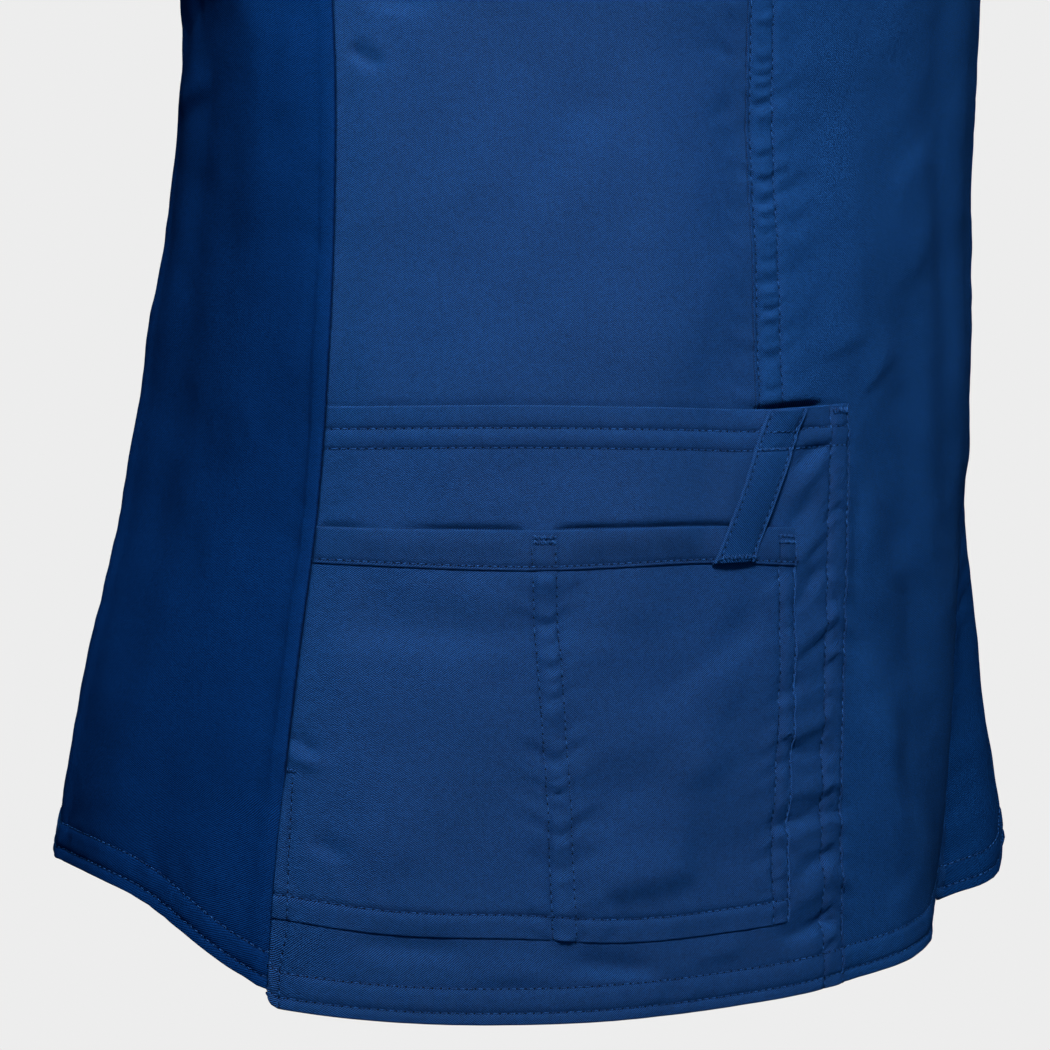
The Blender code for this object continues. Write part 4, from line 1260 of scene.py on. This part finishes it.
def gape_of_a(across, from_top):
    """How far pocket A's mouth stands off between the strap and the bar tack."""
    free = ramp(across, -0.004, 0.008) * (1 - ramp(across, 0.024, 0.034))
    return 0.0012 * free * (1 - ramp(from_top, 0.0, 0.012))


def free_edge(grid, fall):
    """A turned and stitched-down free edge, which falls to the layer below."""
    return roll(grid.start, 0.0009, fall)


def make_pocket_a():
    columns = [(0.0, FREE_EDGE), (A_ROWS[0], ROW[1:]), (A_ROWS[1], ROW), (-VENT_ROW, ROW), (0.0, -EDGE[::-1])]
    top = curve_of(POCKET_A_TOP)
    mouth = curve_of(POCKET_B_TOP)
    curves = hem_curves(front_hem, (-0.69, -0.686, -0.677)) + [
        (curve_of(POCKET_B_LOW), ROW, -0.661),
        (mouth, MOUTH, -0.516),
        (raised(top, -BAND_ROWS[1]), ROW, -0.488),
        (raised(top, -BAND_ROWS[0]), ROW, -0.481),
        (top, -EDGE[::-1], -0.473),
    ]
    steps = (0.002, 0.002, 0.0017, 0.0018, 0.0017, 0.002, 0.002)
    grid = Grid(pocket_edges(POCKET_A_EDGE), curves, steps, columns, 0.0023)
    level = grid.level
    across = across_of(grid.around, level)
    from_top = top(grid.around) - level
    from_hem = level - front_hem(grid.around)
    rows = crossed(sewn(from_hem, *HEM_ROWS), sewn(from_top, *BAND_ROWS), sewn(grid.start, *A_ROWS),
                   sewn(grid.end, vent_row(level)) * vent_share(level))
    detail = LAYER_A + right_end(grid, LAYER_A) + free_edge(grid, LAYER_A - 0.0002) - SINK * rows
    banded = 1 - ramp(from_top, BAND_ROWS[1] - 0.0002, BAND_ROWS[1] + 0.0014)
    detail = detail + turned_edge(from_hem, HEM_ROWS) + roll(from_top, EDGE_ROLL) + 0.0004 * banded
    detail = detail + 0.00035 * np.exp(-((grid.start - 0.007) / 0.0045)**2)
    beside_b = edge_at(POCKET_B_EDGE, level) - across
    hold = 0.0016 - 0.0013 * np.exp(-((across + 0.141) / 0.01)**2)
    hold = hold + 0.0004 * bumps(across / 0.03 + 20, 0 * across, 31)
    hold = hold * ramp(beside_b, 0.009, 0.014) * (beside_b > -0.001)
    hold = hold * ramp(grid.end, 0.001, 0.004) * ramp(np.abs(across - DIVIDER_MIDDLE), 0.005, 0.009)
    detail = detail + mouth_dip(level, mouth(grid.around)) * hold + gape_of_a(across, from_top)
    thick = np.maximum(thick_near(from_hem, HEM_ROWS[1]), thick_near(from_top, BAND_ROWS[1])) * 0.6
    # painted shade along the rows of stitching, and in the right seam above the vent
    painted_shade = rows + seam_shade(grid.end) * (1 - vent_share(level))
    piece, sewing = cover("pocket_lower_layer", "pocket_lower", 41, grid.places, detail, thick, painted_shade, navy)
    for row in HEM_ROWS:
        sewing.round(from_hem, row)
    for row in BAND_ROWS:
        sewing.round(from_top, row, grid.start[-1] > 0.002)
    for row in A_ROWS:
        sewing.up(grid.start, row)
    edge = level[:, -1]
    sewing.up(grid.end, vent_row(edge), (edge < -0.652) & (edge > -0.683))
    # Bar tack across the free corner of the mouth.
    keep = (grid.start[-1] > 0.0012) & (grid.start[-1] < A_ROWS[1] - 0.0006)
    sewing.tack(sewing.round_line(from_top, 0.0024, keep), 0.0026)
    return sewing.make(piece)


def make_pocket_b():
    columns = B_COLUMNS + [(-VENT_ROW, ROW), (0.0, -EDGE[::-1])]
    top = curve_of(POCKET_B_TOP)
    low = curve_of(POCKET_B_LOW)
    curves = [
        (low, EDGE, -0.661),
        (raised(low, POCKET_B_ROW), ROW, -0.653),
        (curve_of(POCKET_B_BAND), ROW, -0.53),
        (top, -EDGE[::-1], -0.516),
    ]
    grid = Grid(pocket_edges(POCKET_B_EDGE), curves, (0.002, 0.0017, 0.003), columns, 0.0022)
    level = grid.level
    from_low = level - low(grid.around)
    from_top = top(grid.around) - level
    divider = across_of(grid.around, level) - edge_at(DIVIDER, level)
    rows = crossed(sewn(from_low, POCKET_B_ROW), sewn(grid.start, *B_ROWS), sewn(divider, 0.0, DIVIDER_WIDTH),
                   sewn(grid.end, vent_row(level)) * vent_share(level))
    detail = LAYER_B + right_end(grid, LAYER_B) + free_edge(grid, LAYER_B - LAYER_A - 0.0002) - SINK * rows
    detail = detail + roll(from_low, 0.0007, 0.00045) + roll(from_top, EDGE_ROLL)
    detail = detail - 0.00035 * (1 - ramp(from_low, 0.0, POCKET_B_ROW - 0.001))
    detail = detail + 0.0003 * np.exp(-((divider - DIVIDER_WIDTH / 2) / 0.003)**2)
    thick = thick_near(from_low, POCKET_B_ROW) * 0.5
    # painted shade along the rows of stitching, and in the right seam above the vent
    painted_shade = rows + seam_shade(grid.end) * (1 - vent_share(level))
    piece, sewing = cover("pocket_upper_layer", "pocket_upper", 42, grid.places, detail, thick, painted_shade, navy)
    sewing.round(from_low, POCKET_B_ROW)
    for row in B_ROWS:
        sewing.up(grid.start, row, level[:, 0] < -0.533)
    for row in (0.0, DIVIDER_WIDTH):
        sewing.up(divider, row, level[:, 0] < -0.5315)
    sewing.up(grid.end, vent_row(level[:, -1]), level[:, -1] < VENT_TOP)
    vent_tack(sewing, grid)
    return sewing.make(piece)


def make_band():
    top = curve_of(POCKET_B_TOP)
    low = curve_of(POCKET_B_BAND)
    columns = B_COLUMNS + [(0.0, -EDGE[::-1])]
    curves = [(low, FREE_EDGE, -0.53), (raised(low, BAND_ROW), ROW[1:], -0.528), (top, -EDGE[::-1], -0.516)]
    grid = Grid(pocket_edges(POCKET_B_EDGE), curves, (0.001, 0.0011), columns, 0.002)
    level = grid.level
    across = across_of(grid.around, level)
    from_low = level - low(grid.around)
    from_top = top(grid.around) - level
    divider = across - DIVIDER_ON_BAND
    ends = sewn(divider, 0.0, DIVIDER_WIDTH) + sewn(grid.start, *B_ROWS)
    rows = crossed(0.7 * sewn(from_low, BAND_ROW), ends * ramp(from_top, 0.001, 0.003))
    detail = LAYER_BAND + roll(grid.end, SEAM_ROLL + 0.001, SEAM_ROLL + LAYER_BAND) - SINK * rows
    detail = detail + free_edge(grid, LAYER_BAND - LAYER_A - 0.0002)
    detail = detail + roll(from_low, 0.0009, LAYER_BAND - LAYER_B) + roll(from_top, 0.0009)
    detail = detail + 0.00045 * np.sin(pi * np.clip(from_low / 0.0135, 0.0, 1.0))
    # The mouth stands off between its ends and the divider, where a bar tack holds it down.
    free = ramp(grid.end, 0.002, 0.02) * ramp(grid.start, 0.042, 0.058)
    free = free * ramp(np.abs(across - DIVIDER_MIDDLE), 0.004, 0.018)
    gape = free * (0.001 + 0.0006 * bumps(across / 0.022 + 11, 0 * across, 33))
    detail = detail + gape * ramp(from_low, 0.003, 0.012)
    # its rows of stitching go in as painted shade
    piece, sewing = cover("pocket_upper_band", "pocket_band", 43, grid.places, detail, 0.35, rows,
                          navy_narrow)
    sewing.round(from_low, BAND_ROW, pitch=0.0029)
    drop = from_top[:, 0]
    rise = from_low[:, 0]
    sewing.up(grid.start, B_ROWS[0], (drop > 0.006) & (rise > 0.002))
    at_edge = (grid.start[-1] > 0.0012) & (grid.start[-1] < B_ROWS[1] + 0.0012)
    for place in (0.003, 0.0052):
        sewing.tack(sewing.round_line(from_top, place, at_edge), 0.0014)
    for row in (0.0, DIVIDER_WIDTH):
        sewing.up(divider, row, (drop > 0.0035) & (rise > 0.001))
    for place in (0.0026, 0.0044):
        sewing.tack(sewing.round_line(from_top, place, np.abs(across[-1] - BAND_TACKS) < 0.0052), 0.0019)
    return sewing.make(piece)


def make_strap():
    """The slanting strap: caught under pocket A's band and bar-tacked to pocket B's."""
    top = np.array(STRAP_TOP)
    bottom = np.array(STRAP_BOTTOM)
    run = top - bottom
    length = float(np.linalg.norm(run))
    along = lay([(np.zeros(1), EDGE / length), (np.full(1, 1.0), -EDGE[::-1] / length)], [56])[0][:, None]
    row = STRAP_HALF - STRAP_ROW
    offsets = lay([(np.full(1, -STRAP_HALF), FREE_EDGE), (np.full(1, -row), ROW),
                   (np.full(1, row), ROW), (np.full(1, STRAP_HALF), -FREE_EDGE[::-1])], [0, 12, 0])[0]
    across = bottom[0] + run[0] * along + offsets
    level = bottom[1] + run[1] * along + 0 * across
    around = around_of(across, level)
    from_edge = STRAP_HALF - np.abs(offsets)
    rows = np.broadcast_to(sewn(from_edge, STRAP_ROW), level.shape)
    detail = STRAP_LOW + (STRAP_HIGH - STRAP_LOW) * ramp(along, 0.22, 0.85) - 0.6 * SINK * rows
    detail = detail + roll(from_edge, 0.0008) + roll(along * length, 0.0008)
    detail = detail + roll((1 - along) * length, 0.001, 0.0008) + 0.00018 * np.cos(pi * offsets / STRAP_HALF)
    detail = detail + 0.0006 * np.exp(-((along - 0.46) / 0.2)**2)
    detail = detail + gape_of_a(across, curve_of(POCKET_A_TOP)(around) - level)
    detail = detail - 0.00045 * np.exp(-((level - top[1] + 0.0145) / 0.0012)**2)
    # its rows of stitching go in as painted shade
    piece, sewing = cover("strap_loop", "strap", 44, (around, level), detail, 0.45, rows, navy_narrow)
    for place in (-row, row):
        sewing.up(np.broadcast_to(offsets, level.shape), place, pitch=0.003)
    wide = np.broadcast_to(along * length, level.shape)
    for place, size in ((0.0024, 0.0022), (length - 0.016, 0.0015)):
        sewing.tack(sewing.round_line(wide, place, np.abs(offsets) < STRAP_HALF - 0.0006), size)
    sewing.round(wide, length - 0.009, np.abs(offsets) < STRAP_HALF - 0.0004)
    return sewing.make(piece)


# --- put it together

PIECES = (
    (make_front(-1, "right", 51), "front_right", (0.250, 0.760), 0.120, ["back"]),
    (make_front(1, "left", 52), "front_left", (0.250, 0.760), 0.120, ["back"]),
    (make_side(-1, "right", 53), "side_panel_right", (0.130, 0.510), 0.051, ["front_right", "back"]),
    (make_side(1, "left", 54), "side_panel_left", (0.130, 0.510), 0.051, ["front_left", "back"]),
    (make_back(55), "back", (0.480, 0.720), 0.245, ["front_right", "front_left"]),
    (make_sleeve(-1, "right", 60), "sleeve_right", (0.420, 0.190), 0.050, ["front_right", "back"]),
    (make_sleeve(1, "left", 70), "sleeve_left", (0.420, 0.190), 0.050, ["front_left", "back"]),
    (make_pocket_a(), "pocket_lower_layer", (0.270, 0.240), 0.052, ["front_right", "front_left"]),
    (make_pocket_b(), "pocket_upper_layer", (0.240, 0.160), 0.030, ["pocket_lower_layer"]),
    (make_band(), "pocket_upper_band", (0.215, 0.015), 0.0029, ["pocket_upper_layer"]),
    (make_strap(), "strap_loop", (0.0165, 0.064), 0.001, ["pocket_upper_band", "pocket_lower_layer"]),
)
for piece, node, flat, area, rests_on in PIECES:
    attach(piece, "root")
    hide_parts(node)

# --- floor, backdrop, light, camera


def plain_material(name, colour, emission):
    """A pale material that partly shines by itself."""
    made = Shading(name)
    made.set(Base_Color=(*[(1 - emission) * c for c in colour], 1.0), Roughness=0.9, Specular_IOR_Level=0.0)
    made.set(Emission_Color=(*colour, 1.0), Emission_Strength=emission)
    return made.material


FLOOR = -1.42            # the floor under someone who wears it
bpy.ops.mesh.primitive_circle_add(vertices=128, radius=3.9, fill_type="NGON", location=(0.0, 0.0, FLOOR))
floor = bpy.context.object
floor.name = "floor"
floor.data.materials.append(plain_material("floor", (0.83, 0.83, 0.83), 0.8))
floor.visible_diffuse = False
floor.visible_glossy = False

# A pale shell round everything, which only the camera sees.
bpy.ops.mesh.primitive_uv_sphere_add(segments=48, ring_count=24, radius=14.0, location=(0.0, 0.0, -0.4))
backdrop = bpy.context.object
backdrop.name = "backdrop"
backdrop.data.materials.append(plain_material("backdrop", (0.847, 0.847, 0.847), 1.0))
backdrop.visible_diffuse = False
backdrop.visible_glossy = False
backdrop.visible_transmission = False
backdrop.visible_shadow = False

TARGET = Vector((-0.0027, 0.0022, -0.523))


def from_angles(azimuth, elevation, distance):
    """A place seen from the garment: azimuth 0 is its front, and positive goes to the wearer's left."""
    a = np.radians(azimuth)
    e = np.radians(elevation)
    return TARGET + Vector((np.sin(a) * np.cos(e), -np.cos(a) * np.cos(e), np.sin(e))) * distance


def add_light(name, azimuth, elevation, distance, size, power, aim, spread=180.0):
    light = bpy.data.lights.new(name, "AREA")
    light.shape = "DISK"
    light.size = size
    light.energy = power
    light.spread = np.radians(spread)
    lamp = bpy.data.objects.new(name, light)
    scene.collection.objects.link(lamp)
    lamp.location = from_angles(azimuth, elevation, distance)
    lamp.rotation_euler = (Vector(aim) - lamp.location).to_track_quat("-Z", "Y").to_euler()
    return lamp


add_light("key", -31.0, 50.0, 2.3, 0.55, 4.1, (-0.03, -0.06, -0.32), 40.0).data.color = (1.0, 0.92, 0.92)
add_light("fill", 60.0, 5.0, 4.0, 3.0, 10.0, TARGET).visible_glossy = False
add_light("behind", 148.0, 42.0, 4.0, 1.2, 100.0, TARGET).visible_glossy = False
world = bpy.data.worlds.new("studio")
world.use_nodes = True
world.node_tree.nodes["Background"].inputs["Color"].default_value = (0.1, 0.65, 1.0, 1.0)
world.node_tree.nodes["Background"].inputs["Strength"].default_value = 0.12
world.cycles_visibility.glossy = False
scene.world = world
scene.view_settings.view_transform = "Standard"
scene.view_settings.look = "None"

lens = bpy.data.cameras.new("camera")
lens.sensor_width = 36.0
lens.lens = 208.3
lens.clip_start = 0.05
lens.clip_end = 60.0
camera = bpy.data.objects.new("camera", lens)
scene.collection.objects.link(camera)
camera.location = from_angles(-40.0, 3.6, 2.3)
camera.rotation_mode = "QUATERNION"
camera.rotation_quaternion = (TARGET - camera.location).to_track_quat("-Z", "Y")
scene.camera = camera
